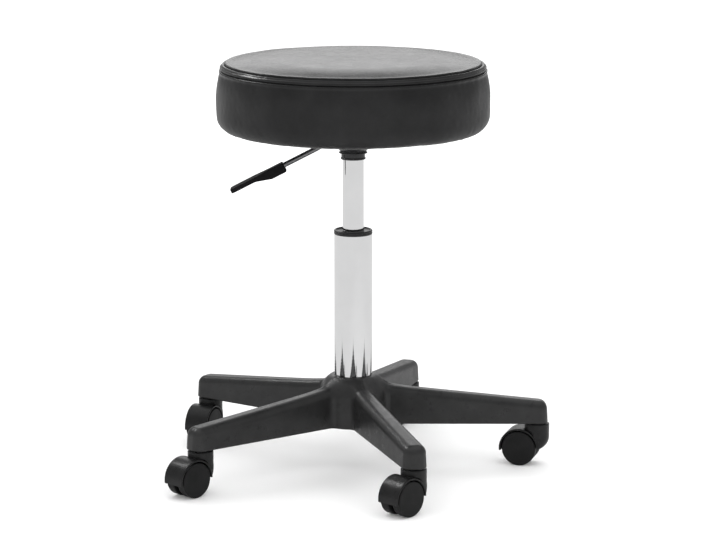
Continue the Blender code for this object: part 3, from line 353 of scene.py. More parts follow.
def piece(name, shells, material, body, replaces=(), sharp_deg=40.0, marks=None):
    """A finished piece: shells put in one mesh, welded, facing out, riding on its body."""
    offsets = np.cumsum([0] + [len(points) for points, _ in shells])
    points = np.concatenate([points for points, _ in shells])
    faces = np.concatenate([faces + start for (_, faces), start in zip(shells, offsets)])
    mesh = new_mesh(name, points, faces.tolist())
    for label, values in (marks or {}).items():
        attribute = mesh.attributes.new(label, "FLOAT", "POINT")
        attribute.data.foreach_set("value", values.astype(np.float32).ravel())
    faced_out(mesh, weld=1e-6)
    mesh.shade_smooth()
    mesh.set_sharp_from_angle(angle=math.radians(sharp_deg))
    mesh.materials.append(material)
    made = placed(name, mesh)
    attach(made, body)
    if replaces:
        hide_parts(*replaces)
    return made


# Finishes


class Graph:
    """Short calls to add nodes to a tree and feed their sockets."""

    def __init__(self, tree):
        self.tree = tree

    def add(self, kind, feeds=None, **settings):
        node = self.tree.nodes.new(kind)
        for key, value in settings.items():
            setattr(node, key, value)
        for socket, value in (feeds or {}).items():
            self.feed(node.inputs[socket], value)
        return node

    def feed(self, socket, value):
        if isinstance(value, bpy.types.NodeSocket):
            self.tree.links.new(value, socket)
        else:
            socket.default_value = value

    def math(self, operation, a, b=0.0):
        return self.add("ShaderNodeMath", {0: a, 1: b}, operation=operation).outputs[0]

    def plus(self, value, extra, share):
        """The value with a share of another added."""
        return self.math("ADD", value, self.math("MULTIPLY", extra, share))

    def blend(self, share, a, b):
        return self.add("ShaderNodeMix", {0: share, 6: a, 7: b}, data_type="RGBA").outputs[2]

    def spread(self, value, low, high, start=0.0, end=1.0):
        feeds = {"Value": value, "From Min": start, "From Max": end, "To Min": low, "To Max": high}
        return self.add("ShaderNodeMapRange", feeds).outputs[0]


def node_group(name, outputs, **inputs):
    """Turns a function that fills a node tree into one that gives its shader node group, built once."""
    def wrap(fill):
        @functools.cache
        def get():
            tree = bpy.data.node_groups.new(name, "ShaderNodeTree")
            for label, value in {"Vector": (0.0, 0.0, 0.0), **inputs}.items():
                kind = "NodeSocketFloat" if isinstance(value, float) else "NodeSocketVector"
                tree.interface.new_socket(label, in_out="INPUT", socket_type=kind).default_value = value
            for label in outputs:
                tree.interface.new_socket(label, in_out="OUTPUT", socket_type="NodeSocketFloat")
            graph = Graph(tree)
            entry = graph.add("NodeGroupInput").outputs
            leave = graph.add("NodeGroupOutput")
            for label, value in fill(graph, entry).items():
                graph.feed(leave.inputs[label], value)
            return tree
        return get
    return wrap


@node_group("uneven_patches", ["Value"], Size=0.02, Low=0.0, High=1.0)
def mottle_group(graph, entry):
    """Uneven patches of a given size, spread between a low and a high value."""
    scale = graph.math("DIVIDE", 1.0, entry["Size"])
    feeds = {"Vector": entry["Vector"], "Scale": scale, "Detail": 4.0, "Roughness": 0.55}
    noise = graph.add("ShaderNodeTexNoise", feeds).outputs[0]
    return {"Value": graph.spread(noise, entry["Low"], entry["High"], 0.32, 0.68)}


@node_group("pebble_grain", ["Height", "Crease"], Size=0.001)
def pebble_group(graph, entry):
    """Pebbled grain: rounded cells of a given size with creases between them, and finer pits on top."""
    scale = graph.math("DIVIDE", 1.0, entry["Size"])
    feeds = {"Vector": entry["Vector"], "Scale": scale, "Randomness": 0.9}
    cells = graph.add("ShaderNodeTexVoronoi", feeds, feature="DISTANCE_TO_EDGE")
    feeds = {"Vector": entry["Vector"], "Scale": graph.math("MULTIPLY", scale, 3.1), "Detail": 2.0}
    pits = graph.add("ShaderNodeTexNoise", feeds).outputs[0]
    dome = graph.spread(cells.outputs["Distance"], 0.0, 1.0, 0.0, 0.28)
    return {"Height": graph.plus(dome, pits, 0.45), "Crease": graph.math("SUBTRACT", 1.0, dome)}


@node_group("polish_lines", ["Value"], Pace=(40.0, 40.0, 2500.0))
def streak_group(graph, entry):
    """Fine polishing lines: noise stretched along one axis by scaling the coordinates."""
    feeds = {0: entry["Vector"], 1: entry["Pace"]}
    stretched = graph.add("ShaderNodeVectorMath", feeds, operation="MULTIPLY").outputs[0]
    feeds = {"Vector": stretched, "Scale": 1.0, "Detail": 3.0}
    return {"Value": graph.add("ShaderNodeTexNoise", feeds).outputs[0]}


class Finish(Graph):
    """A material with its Principled shader, its place on the piece and the shared effects."""

    def __init__(self, name, **constants):
        self.material = bpy.data.materials.new(name)
        self.material.use_nodes = True
        super().__init__(self.material.node_tree)
        self.shader = self.tree.nodes["Principled BSDF"]
        self.place = self.add("ShaderNodeTexCoord").outputs["Object"]
        for label, value in constants.items():
            self.shader.inputs[label.replace("_", " ")].default_value = value

    def use(self, tree, **feeds):
        return self.add("ShaderNodeGroup", {"Vector": self.place, **feeds}, node_tree=tree).outputs

    def patches(self, size, low, high):
        return self.use(mottle_group(), Size=size, Low=low, High=high)["Value"]

    def streaks(self, *pace):
        return self.use(streak_group(), Pace=pace)["Value"]

    def mark(self, label):
        return self.add("ShaderNodeAttribute", attribute_name=label).outputs["Fac"]

    def tint(self, colour, low, high, size):
        """The colour, darker and lighter in patches."""
        dark = (*(low * channel for channel in colour), 1.0)
        light = (*(high * channel for channel in colour), 1.0)
        return self.blend(self.patches(size, 0.0, 1.0), dark, light)

    def relief(self, height, distance, strength):
        bump = self.add("ShaderNodeBump", {"Height": height, "Distance": distance, "Strength": strength})
        self.feed(self.shader.inputs["Normal"], bump.outputs[0])

    def colour(self, value):
        self.feed(self.shader.inputs["Base Color"], value)

    def roughness(self, value):
        self.feed(self.shader.inputs["Roughness"], value)


def grey(tone):
    return (tone, tone, tone, 1.0)


@functools.cache
def leatherette():
    """Black coated cloth: pebbled, a little uneven, smoother where taut, duller in the seams; painted shade
    darkens the grain's creases, the seams and the join.
    """
    settings = bpy.context.scene.stool_cushion
    finish = Finish("leatherette", Specular_IOR_Level=0.3)
    grain = finish.use(pebble_group(), Size=settings.grain_size)
    seam = finish.mark("seam")
    skin = finish.tint(tuple(settings.colour), 0.75, 1.3, 0.045)
    # Painted shade in the creases between the pebbles of the grain.
    skin = finish.blend(finish.math("MULTIPLY", grain["Crease"], 0.35), skin, grey(0.004))
    # Painted shade in the seams and the upright join, carried by the seam mark.
    finish.colour(finish.blend(finish.math("MULTIPLY", seam, 0.85), skin, grey(0.002)))
    rough = finish.plus(finish.patches(0.03, 0.34, 0.38), grain["Crease"], 0.06)
    rough = finish.plus(rough, finish.mark("taut"), -0.14)
    finish.roughness(finish.plus(rough, seam, 0.25))
    soft = finish.patches(0.009, 0.0, 0.5)
    finish.relief(finish.plus(soft, grain["Height"], 0.5), distance=0.00008, strength=0.5)
    return finish.material


@functools.cache
def chrome():
    """Polished plate with faint smears; the pressed flutes are duller and darkened with painted shade."""
    settings = bpy.context.scene.stool_column
    finish = Finish("chrome_plate", Metallic=1.0)
    pressed = finish.mark("pressed")
    bright = finish.tint(tuple(settings.chrome_colour), 0.98, 1.02, 0.03)
    # Painted shade: the flutes' dark tone stands in for the shade and dark reflections in their hollows.
    dull = finish.tint(tuple(settings.flute_shade_colour), 0.8, 1.25, 0.008)
    finish.colour(finish.blend(pressed, bright, dull))
    rough = finish.plus(finish.patches(0.02, 0.045, 0.075), finish.streaks(60.0, 60.0, 1800.0), 0.02)
    finish.roughness(finish.plus(rough, pressed, 0.16))
    return finish.material


@functools.cache
def moulded(name, colour, rough, grain, depth, shine=0.4):
    """Satin moulded plastic: fine spark texture, slightly uneven gloss and tone."""
    finish = Finish(name, Specular_IOR_Level=shine)
    finish.colour(finish.tint(colour, 0.82, 1.2, 0.018))
    texture = finish.use(pebble_group(), Size=grain)
    finish.roughness(finish.plus(finish.patches(0.012, *rough), texture["Crease"], 0.05))
    finish.relief(texture["Height"], depth, strength=0.6)
    return finish.material


def base_nylon():
    colour = tuple(bpy.context.scene.stool_base.nylon_colour)
    return moulded("base_nylon", colour, rough=(0.25, 0.34), grain=0.0006, depth=0.00003, shine=0.45)


def hood_nylon():
    colour = tuple(bpy.context.scene.stool_casters.hood_colour)
    return moulded("hood_nylon", colour, rough=(0.24, 0.34), grain=0.0005, depth=0.00002, shine=0.35)


def wheel_nylon():
    colour = tuple(bpy.context.scene.stool_casters.wheel_colour)
    return moulded("wheel_nylon", colour, rough=(0.36, 0.48), grain=0.0005, depth=0.00002, shine=0.2)


def grip_plastic():
    colour = tuple(bpy.context.scene.stool_lever.grip_colour)
    return moulded("grip_plastic", colour, rough=(0.50, 0.60), grain=0.0005, depth=0.00002, shine=0.04)


def bush_plastic():
    return moulded("bush_plastic", (0.016, 0.016, 0.017), rough=(0.26, 0.36), grain=0.0006, depth=0.00002)


def inner_plastic():
    return moulded("inner_plastic", (0.05, 0.05, 0.052), rough=(0.4, 0.5), grain=0.0007, depth=0.00002)


def stop_rubber():
    return moulded("stop_rubber", (0.03, 0.03, 0.03), rough=(0.7, 0.85), grain=0.0008, depth=0.00004)


@functools.cache
def black_paint():
    """Stove enamel on steel: orange peel, slightly uneven gloss."""
    finish = Finish("black_paint")
    finish.colour(finish.tint(tuple(bpy.context.scene.stool_lever.paint_colour), 0.85, 1.2, 0.01))
    finish.roughness(finish.patches(0.006, 0.14, 0.22))
    finish.relief(finish.patches(0.0012, 0.0, 1.0), distance=0.00003, strength=0.3)
    return finish.material


@functools.cache
def dark_steel():
    """Blackened steel wire, drawn bright: it mirrors what is round it, darkly."""
    finish = Finish("dark_steel", Metallic=1.0)
    finish.colour(finish.tint((0.24, 0.24, 0.245), 0.85, 1.15, 0.006))
    finish.roughness(finish.patches(0.006, 0.14, 0.22))
    return finish.material


@functools.cache
def zinc():
    """Bright zinc plate with turning marks and dull patches."""
    finish = Finish("zinc_plate", Metallic=1.0)
    finish.colour(finish.tint((0.56, 0.56, 0.57), 0.9, 1.08, 0.004))
    finish.roughness(finish.plus(finish.patches(0.005, 0.22, 0.34), finish.streaks(50.0, 50.0, 4000.0), 0.06))
    return finish.material


@functools.cache
def felt():
    """Black spunbond cloth: a mat of fibres, dull."""
    finish = Finish("lining_felt", Specular_IOR_Level=0.2)
    mat = finish.math("ADD", finish.streaks(2600.0, 500.0, 900.0), finish.streaks(500.0, 2600.0, 900.0))
    finish.colour(finish.blend(finish.spread(mat, 0.0, 1.0, 0.7, 1.3), grey(0.008), grey(0.03)))
    finish.roughness(finish.patches(0.01, 0.85, 0.95))
    finish.relief(mat, distance=0.0003, strength=0.6)
    return finish.material


@functools.cache
def plywood():
    """Pale ply with grain along X."""
    finish = Finish("seat_ply")
    grain = finish.streaks(14.0, 260.0, 260.0)
    finish.colour(finish.blend(grain, (0.42, 0.28, 0.16, 1.0), (0.70, 0.54, 0.36, 1.0)))
    finish.roughness(finish.patches(0.01, 0.6, 0.75))
    finish.relief(grain, distance=0.0001, strength=0.5)
    return finish.material


# Cushion


def cushion_outline():
    """The half section from the top's middle to the hem, as radius and height along its length.

    A top that falls with the square of the radius and rolls over near its edge, a round shoulder, a side
    that bulges with the cube of its height, a round skirt and a flat hem. It is then smoothed over a few
    millimetres. Gives the points, their distance along and the two seams' distances.
    """
    shoulder_at = (SEAT_RADIUS - SHOULDER_TUCK - SHOULDER_RADIUS, SEAT_TOP - SEAT_CROWN - SHOULDER_RADIUS)
    shoulder = arc(shoulder_at, SHOULDER_RADIUS, SHOULDER_START_DEG, 0.0, 90)
    share = np.linspace(0.0, 1.0, 160)
    edge, fall = shoulder[0, 0], SEAT_TOP - shoulder[0, 1]
    roll = clamped(1 - (1 - share) * edge / ROLL_WIDTH)
    drop = CROWN_SHARE * share**2 + (1 - CROWN_SHARE) * roll**2
    crown = np.column_stack([edge * share, SEAT_TOP - fall * drop])
    side_foot = SEAT_BOTTOM + SKIRT_RADIUS + SHOULDER_RADIUS
    side_height = shoulder_at[1] - side_foot
    up = share[::-1]
    side = np.column_stack([SEAT_RADIUS - SHOULDER_TUCK * up**3, side_foot + side_height * up])
    skirt_at = (SEAT_RADIUS - SKIRT_RADIUS, SEAT_BOTTOM + SKIRT_RADIUS)
    skirt = arc(skirt_at, SKIRT_RADIUS, 0.0, -90.0, 120)
    inwards = np.linspace(skirt_at[0], HEM_RADIUS, 60)
    hem = np.column_stack([inwards, np.full(len(inwards), SEAT_BOTTOM)])
    points = np.concatenate([crown, shoulder[1:], side[1:], skirt, hem[1:]])
    along = np.concatenate([[0.0], np.cumsum(np.linalg.norm(np.diff(points, axis=0), axis=1))])
    start = along[len(crown) - 1]
    seams = [start + SHOULDER_RADIUS * math.radians(SHOULDER_START_DEG - angle)
             for angle in (TOP_SEAM_DEG, SIDE_SEAM_DEG)]
    step, softness, reach = 0.0005, 0.0022, 8
    even = np.arange(0.0, along[-1], step)
    line = np.pad(read_off(even, along, points), ((reach, reach), (0, 0)), mode="reflect", reflect_type="odd")
    weight = np.exp(-0.5 * (np.arange(-reach, reach + 1) * step / softness) ** 2)
    weight = weight / weight.sum()
    return np.column_stack([np.convolve(line[:, k], weight, "valid") for k in (0, 1)]), even, seams


def settled(rings, held, settings):
    """How far the cover swells: rings of it are blown up as cloth, held along some, and each shift is capped.

    Gives each point's shift from where it began.
    """
    points, faces = shell(rings)
    count = rings.shape[1]
    first = np.arange(count)
    cap = np.column_stack([first, np.roll(first, -1), np.full(count, len(points))])
    middle = [[0.0, 0.0, rings[0, :, 2].mean()]]
    mesh = new_mesh("cover_cloth", np.append(points, middle, 0), faces.tolist() + cap.tolist())
    faced_out(mesh)
    made = placed("cover_cloth", mesh)
    pinned = np.flatnonzero(np.repeat(held, count)).tolist()
    made.vertex_groups.new(name="held").add(pinned, 1.0, "REPLACE")
    cloth = made.modifiers.new("swell", "CLOTH").settings
    cloth.vertex_group_mass = "held"
    cloth.use_pressure = True
    cloth.uniform_pressure_force = settings.pressure
    cloth.effector_weights.gravity = 0.0
    scene = bpy.context.scene
    for number in range(1, SWELL_FRAMES + 1):
        scene.frame_set(number)
    final = made.evaluated_get(bpy.context.evaluated_depsgraph_get()).data
    after = np.empty(3 * len(final.vertices))
    final.vertices.foreach_get("co", after)
    bpy.data.objects.remove(made)
    bpy.data.meshes.remove(mesh)
    scene.frame_set(1)
    shift = after.reshape(-1, 3)[:-1] - points
    far = np.maximum(np.linalg.norm(shift, axis=1, keepdims=True), 1e-9)
    return (shift * np.minimum(1.0, settings.swell_limit / far)).reshape(rings.shape)


def cover_swell(settings, line, even, seams, s, angle):
    """The swelling along the cover's normal: a coarse, smaller cover is settled and read by hat functions."""
    rows, columns = 56, 120
    middle_gap, hem_hold, side_blend, unevenness = 0.006, 0.012, 0.01, 0.00015
    along = np.linspace(middle_gap, even[-1], rows)
    pitch = along[1] - along[0]
    coarse = read_off(along, even, line)
    normal = normals(coarse, along)
    turn = around(columns)
    on_side = clamped((along - seams[1]) / side_blend)[:, None]
    waves = ripple(turn[None, :], along[:, None], seed=23, count=24, turns=(4, 40), length=0.04)
    small = unevenness * on_side * waves - settings.slack
    rings = ringed(coarse[:, :1] + normal[:, :1] * small, turn, coarse[:, 1:] + normal[:, 1:] * small)
    held = np.abs(along[:, None] - np.array(seams)).min(1) < 0.6 * pitch
    held |= along > even[-1] - hem_hold
    shift = settled(rings, held, settings)
    out = shift[..., 0] * np.cos(turn) + shift[..., 1] * np.sin(turn)
    swell = out * normal[:, :1] + shift[..., 2] * normal[:, 1:] + small
    swell = np.where(held[:, None], 0.0, swell)
    for _ in range(4):
        swell = (np.roll(swell, 1, 1) + 2 * swell + np.roll(swell, -1, 1)) / 4
    row_share = clamped(1 - np.abs(np.maximum(s, middle_gap) - along) / pitch)
    away = np.abs((angle.T - turn + np.pi) % (2 * np.pi) - np.pi)
    column_share = clamped(1 - away * columns / (2 * np.pi))
    return row_share @ swell @ column_share.T


def cover_relief(settings, s, angle, radius, seams, length):
    """How far the cover is pushed out along its normal, and how much each point is in a seam or taut. The
    seam mark darkens the seams and the join with painted shade.

    Each seam is a bell-shaped groove with a soft roll on both sides. The band between the seams is puffed
    by half a sine and has one upright join. Small folds run out from the lower seam, waves and dents make
    the side uneven, and gathers grow towards the hem.
    """
    top_seam, side_seam = seams
    groove, roll_away, roll_height, roll_width = 0.0009, 0.0027, 0.0009, 0.0018
    mark_width, taut_blend, taut_away, taut_width = 0.0007, 0.004, 0.0026, 0.0024
    fold_depth, fold_away, fold_width = 0.0001, 0.004, 0.006
    gather_from, gather_over = length - 0.040, 0.030
    join_depth, join_width, join_mark_width = 0.0007, 0.0011, 0.0012
    folds = ripple(angle, 0 * s, seed=7, count=9, turns=(34, 78), length=1.0)
    push = np.zeros((len(s), angle.size))
    seam_shade_mark = np.zeros_like(push)
    taut_mark = np.zeros_like(push) + clamped((top_seam - s) / taut_blend)
    for place, depth in ((top_seam, settings.seam_depth), (side_seam, settings.seam_depth * 0.8)):
        away = np.abs(s - place)
        push -= depth * bell(away, groove) * (1 + 0.1 * folds)
        push += roll_height * bell(away - roll_away, roll_width)
        # The seam mark: where the leatherette gets painted shade in the seam grooves.
        seam_shade_mark += bell(away, mark_width)
        taut_mark += bell(away - taut_away, taut_width)
    band = clamped((s - top_seam) / (side_seam - top_seam))
    push += settings.band_puff * np.sin(np.pi * band)
    below = np.clip(s - side_seam, 0.0, None)
    push += fold_depth * folds * bell(below - fold_away, fold_width) * (below > 0)
    outer = 0.15 + 0.85 * clamped((s - top_seam + 0.01) / 0.02)
    outer = outer * clamped(radius / 0.1)
    waves = ripple(angle, s, seed=3, count=26, turns=(4, 30), length=0.05)
    push += settings.wave_height * outer * waves
    dents = ripple(angle, s, seed=19, count=40, turns=(30, 110), length=0.014)
    dents = outer * (s > side_seam + 0.003) * dents
    push += settings.dent_depth * dents * np.abs(dents)
    gathers = ripple(angle, 0 * s, seed=11, count=12, turns=(30, 66), length=1.0)
    skirt = clamped((s - gather_from) / gather_over)
    push += settings.gather_height * skirt**2 * (gathers - 0.6 * np.abs(gathers))
    off = (angle - math.radians(JOIN_DEG)) * SEAT_RADIUS
    in_band = (band > 0) & (band < 1)
    push -= join_depth * bell(off, join_width) * bell(band - 0.5, 0.6) * in_band
    # The upright join gets painted shade as well.
    seam_shade_mark += 0.5 * bell(off, join_mark_width) * in_band
    return push, {"seam": clamped(seam_shade_mark), "taut": clamped(taut_mark)}


def cushion_shell(settings):
    """The sewn cover: the outline carried round Z, pushed along its normal by its relief and its swelling.

    Rows lie closer about the seams. Inside the hem it turns up round the board.
    """
    line, even, seams = cushion_outline()
    close = 0.007
    along = np.concatenate([np.linspace(0.0, seams[0] - close, 30),
                            np.linspace(seams[0] - close, seams[1] + close, 66)[1:],
                            np.linspace(seams[1] + close, even[-1], 60)[1:]])
    section = read_off(along, even, line)
    normal = normals(section, along)
    s, angle = along[:, None], around(360)[None, :]
    push, marks = cover_relief(settings, s, angle, section[:, :1], seams, even[-1])
    push += cover_swell(settings, line, even, seams, s, angle)
    radius = section[:, :1] + normal[:, :1] * push
    height = section[:, 1:] + normal[:, 1:] * push
    radius[0] = 0.0
    hem, board, ceiling = SEAT_BOTTOM + HEM_THICKNESS, BOARD_HIGH.x + FIT, BOARD_HIGH.z + FIT
    well = [(HEM_RADIUS, hem), (board, hem), (board, ceiling), (0.0, ceiling)]
    radius, height, marks = with_rows(radius, height, marks, well)
    return shell(ringed(radius, angle, height)), marks


class StoolCushionSettings(bpy.types.PropertyGroup):
    colour: FloatVectorProperty(
        name="Cover colour", description="Colour of the leatherette",
        default=(0.0155, 0.0155, 0.016), **COLOUR)
    grain_size: FloatProperty(
        name="Grain size", description="Width of one pebble of the grain", default=0.0011, **LENGTH)
    seam_depth: FloatProperty(
        name="Seam depth", description="How deep the seams pull in", default=0.0017, **LENGTH)
    band_puff: FloatProperty(
        name="Band puff", description="How far the band between the seams bulges", default=0.0007, **LENGTH)
    wave_height: FloatProperty(
        name="Wave height", description="Height of the cover's unevenness", default=0.00018, **LENGTH)
    pressure: FloatProperty(
        name="Pressure", description="How hard the foam swells the cover", default=4.0, min=0.0)
    slack: FloatProperty(
        name="Slack", description="How much smaller the cover is before it swells", default=0.0004, **LENGTH)
    swell_limit: FloatProperty(
        name="Swell limit", description="How far a point of the cover may move", default=0.0025, **LENGTH)
    dent_depth: FloatProperty(
        name="Dent depth", description="Depth of the small dents in the side", default=0.00003, **LENGTH)
    gather_height: FloatProperty(
        name="Gather height", description="Height of the gathers at the hem", default=0.0006, **LENGTH)


class STOOL_OT_cushion(bpy.types.Operator):
    """Make the sewn cushion"""
    bl_idname = "stool.cushion"
    bl_label = "Cushion"

    def execute(self, context):
        cover, marks = cushion_shell(context.scene.stool_cushion)
        cushion = piece("sewn_cushion", [cover], leatherette(), "seat",
                        ("seat_cover", "seat_foam"), sharp_deg=50.0, marks=marks)
        return {"FINISHED"}


# Under the seat


def staple_shells():
    """Staples round the hem: short flat bars, each turned to its place."""
    length, width, thickness = 0.010, 0.0012, 0.0006
    x, y = length / 2, width / 2
    bar = slab([(-x, -y), (x, -y), (x, y), (-x, y)], half=thickness / 2, ease=0.0001)
    reach, height = HEM_RADIUS + 0.007, SEAT_BOTTOM - 0.0002
    return [moved(bar, about_z(turn + math.pi / 2), (reach * math.cos(turn), reach * math.sin(turn), height))
            for turn in around(40)]


def lining_shell():
    """The dust cloth: a thin disc, puckered a little towards its rim by waves in the angle."""
    rim, rings = LINING_HIGH.x, 30
    under, over, depth = 0.0004, 0.0014, 0.0003
    outwards = np.linspace(0.0, rim, rings)
    radius = np.concatenate([outwards, outwards[::-1]])[:, None]
    angle = around(180)[None, :]
    waves = ripple(angle, 0 * radius, seed=5, count=8, turns=(20, 50), length=1.0)
    pucker = depth * (1 + waves / 3) * (radius / rim) ** 3
    sides = np.repeat([under, over], rings)[:, None]
    return shell(ringed(radius, angle, LINING_LOW.z + sides + pucker))


def screw_shell(low, high):
    """A hex-headed screw: the head's radius follows a hexagon, the shank is round."""
    turn = around(72)
    sixth = math.pi / 3
    hexagon = math.cos(sixth / 2) / np.cos((turn + sixth / 2) % sixth - sixth / 2)
    head, shank, bevel = (high.x - low.x) / 2, 0.003, 0.0007
    washer = low.z + 0.003
    top = washer + 0.001
    rows = np.array([(0.0, low.z, 0), (0.8 * head, low.z, 0), (head, low.z + bevel, 1), (head, washer, 1),
                     (head, washer + 0.0001, 0), (head, top, 0), (shank, top, 0), (shank, high.z, 0),
                     (0.0, high.z, 0)])
    radius = rows[:, :1] * np.where(rows[:, 2:] > 0, hexagon, 1.0)
    middle = ((low.x + high.x) / 2, (low.y + high.y) / 2, 0.0)
    return moved(shell(ringed(radius, turn, rows[:, 1:2])), None, middle)


class STOOL_OT_underside(bpy.types.Operator):
    """Make what shows under the seat: lining, staples, screws and the plate's paint"""
    bl_idname = "stool.underside"
    bl_label = "Underside"

    def execute(self, context):
        lining = piece("dust_lining", [lining_shell()], felt(), "seat", ("bottom_lining",))
        piece("hem_staples", staple_shells(), zinc(), "seat")
        for index in range(1, 5):
            node = f"seat_bolt_{index}"
            screw = screw_shell(*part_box(node))
            piece(f"plate_screw_{index}", [screw], zinc(), "seat", (node,))
        frame["nodes"]["seat_plate"].data.materials[0] = black_paint()
        return {"FINISHED"}


# Lever


def lever_line():
    """The rod's centre line in the lever's upright plane: level over the pin, a bend, then a slope.

    Gives the line, where the paddle starts and the direction of the slope.
    """
    tail, in_paddle = -0.023, 0.026
    bend = arc((0.0, -LEVER_BEND), LEVER_BEND, 90.0, 90.0 - math.degrees(LEVER_SLOPE), 10)
    way = np.array([math.cos(LEVER_SLOPE), -math.sin(LEVER_SLOPE)])
    start = bend[-1]
    paddle = start + way * (PADDLE_AT - start[0]) / way[0]
    flat = np.column_stack([np.linspace(tail, -0.0005, 6), np.zeros(6)])
    run = start + np.linspace(0.0, 1.0, 12)[1:, None] * (paddle + way * in_paddle - start)
    return np.concatenate([flat, bend, run]), paddle, way


def rod_shell():
    """The rod: a circle carried along the line, a little thicker beyond the bend, its ends drawn in."""
    line, _, _ = lever_line()
    across = normals(line, np.arange(len(line)))
    turn = around(24)
    thin, thick, end = 0.003, 0.0035, 0.0022
    size = np.interp(line[:, 0], [LEVER_BEND, 0.03], [thin, thick])
    size[[0, -1]] = end
    aside, up = size[:, None] * np.sin(turn), size[:, None] * np.cos(turn)
    return swept(np.stack([line[:, :1] + across[:, :1] * up, aside, line[:, 1:] + across[:, 1:] * up], -1))


def paddle_shell():
    """The grip: rounded oblongs along the rod, deep at the block, thinned by a wedge to a broad blade."""
    _, start, way = lever_line()
    length, tip = PADDLE_LENGTH, 0.006
    block, blade = 0.008, 0.0125
    nose_at = [0.0, 0.0002, 0.0007, 0.0014]
    along = np.concatenate([nose_at, np.linspace(0.002, 0.068, 60),
                            length - tip + tip * np.sin(np.linspace(0.0, 1.0, 14) * math.pi / 2)])
    end = clamped((along - (length - tip)) / tip)
    half = np.interp(along, [0.0, 0.021, 0.042, length], [block, block, blade, blade])
    half = half - tip * (1 - np.sqrt(1 - np.minimum(end, 0.998) ** 2))
    low = np.interp(along, [0.0, 0.0205, 0.0225, 0.041, 0.044, length],
                    [-0.0086, -0.0086, -0.0081, -0.0018, -0.0014, -0.0014])
    nose = np.interp(along, nose_at, [0.0011, 0.0006, 0.0002, 0.0])
    last = 0.0012 * clamped((end - 0.85) / 0.15) ** 2
    half, top, low = half - nose, 0.0046 - nose - last, low + nose + last
    corners = np.array([(half, top), (half, low), (-half, low), (-half, top)]).transpose(2, 0, 1)
    aside, up = np.moveaxis(eased(corners, ease=0.0016, closed=True), -1, 0)
    middle = start + along[:, None] * way
    return swept(np.stack([middle[:, :1] - up * way[1], aside, middle[:, 1:] + up * way[0]], -1))


class StoolLeverSettings(bpy.types.PropertyGroup):
    grip_colour: FloatVectorProperty(
        name="Grip colour", description="Colour of the lever's grip",
        default=(0.010, 0.010, 0.0105), **COLOUR)
    paint_colour: FloatVectorProperty(
        name="Paint colour", description="Colour of the painted steel",
        default=(0.020, 0.020, 0.021), **COLOUR)


class STOOL_OT_lever(bpy.types.Operator):
    """Make the height lever"""
    bl_idname = "stool.lever"
    bl_label = "Height lever"

    def execute(self, context):
        pivot = joint_at("lever_lift")
        turn = about_z(math.atan2(pivot[1], pivot[0]))
        piece("height_lever_rod", [moved(rod_shell(), turn, pivot)], dark_steel(), "lever",
              ("lever_rod",))
        piece("height_lever_grip", [moved(paddle_shell(), turn, pivot)], grip_plastic(), "lever",
              ("lever_paddle",))
        return {"FINISHED"}


# Column


def taper_radius(height):
    """The stand tube's straight taper inside the hub."""
    share = (height - TUBE_LOW.z) / (HUB_TOP - TUBE_LOW.z)
    return TAPER_FOOT + (TAPER_TOP - TAPER_FOOT) * share


def flute_field(angle, height):
    """How deep and how fully the wall is pressed: pointed flutes that widen downwards by a power. How fully
    it is pressed is also the mask of the flutes' painted shade.
    """
    share = clamped((HUB_TOP + FIT + FLUTE_LENGTH - height) / FLUTE_LENGTH)
    pitch = 2 * np.pi / FLUTES
    off = np.abs((angle + pitch / 2) % pitch - pitch / 2)
    widest, power, edge = 0.42, 2.3, math.radians(2.4)
    half_width = pitch / 2 * widest * share**power
    inside = smooth(clamped((half_width + edge * share - off) / edge))
    return (TUBE_RADIUS - TAPER_TOP) * share * inside, inside * clamped(share * 6)


def stand_tube_shell():
    """The outer tube: a circle less the flutes' depth, carried down the column, then back up the bore."""
    angle = around(360)[None, :]
    top, foot, floor, bevel = TUBE_HIGH.z, TUBE_LOW.z, TUBE_LOW.z + 0.003, 0.0003
    flute_top = HUB_TOP + FIT + FLUTE_LENGTH
    height = np.concatenate([[top - bevel], np.linspace(top - 0.001, flute_top, 20),
                             np.linspace(flute_top, HUB_TOP + FIT, 60)[1:]])[:, None]
    depth, pressed = flute_field(angle, height)
    bore, hole = TUBE_RADIUS - TUBE_WALL, SPIGOT_RADIUS + FIT
    rest = [(TAPER_TOP, HUB_TOP + FIT / 2), (TAPER_FOOT, foot), (hole, foot), (hole, floor),
            (TAPER_FOOT - TUBE_WALL, floor), (TAPER_TOP - TUBE_WALL, HUB_TOP), (bore, flute_top),
            (bore, top), (TUBE_RADIUS - bevel, top)]
    height = np.repeat(height, angle.size, 1)
    # The pressed mark carries the flutes' painted shade to the chrome.
    radius, height, marks = with_rows(TUBE_RADIUS - depth, height, {"pressed": pressed}, rest)
    facing = angle + math.radians(FRONT_DEG - 90.0)
    return shell(ringed(radius, facing, height), wrap_rows=True), marks


def bush_shell():
    """The guide bush: a flat rim over the tube's mouth, a dished top and a long sleeve, turned."""
    top, foot, seat = BUSH_HIGH.z, BUSH_LOW.z, TUBE_HIGH.z + FIT
    rim, sleeve, bore = BUSH_HIGH.x, TUBE_RADIUS - TUBE_WALL - FIT, LIFT_RADIUS + FIT
    bevel, groove = 0.0010, 0.0005
    return lathed([(rim - bevel, top), (rim, top - bevel), (rim, top - 0.0024), (rim - groove, top - 0.0027),
                   (rim - groove, top - 0.0031), (rim, top - 0.0034), (rim, seat), (sleeve, seat),
                   (sleeve, foot), (bore, foot), (bore, top - 0.0026), (sleeve - 0.0016, top - 0.0016),
                   (sleeve - 0.0002, top)], ease=0.0004)


def lift_shell():
    """The pressure tube: straight to the collar's foot, then a slight taper, with a closed top, turned."""
    top, foot, ceiling = LIFT_HIGH.z, LIFT_LOW.z, LIFT_HIGH.z - 0.005
    inside, hole = LIFT_RADIUS - LIFT_WALL, 0.0033
    return lathed([(LIFT_RADIUS - 0.0007, top), (LIFT_RADIUS, COLLAR_LOW.z), (LIFT_RADIUS, foot),
                   (inside, foot), (inside, ceiling), (hole, ceiling), (hole, top)], ease=0.0004)


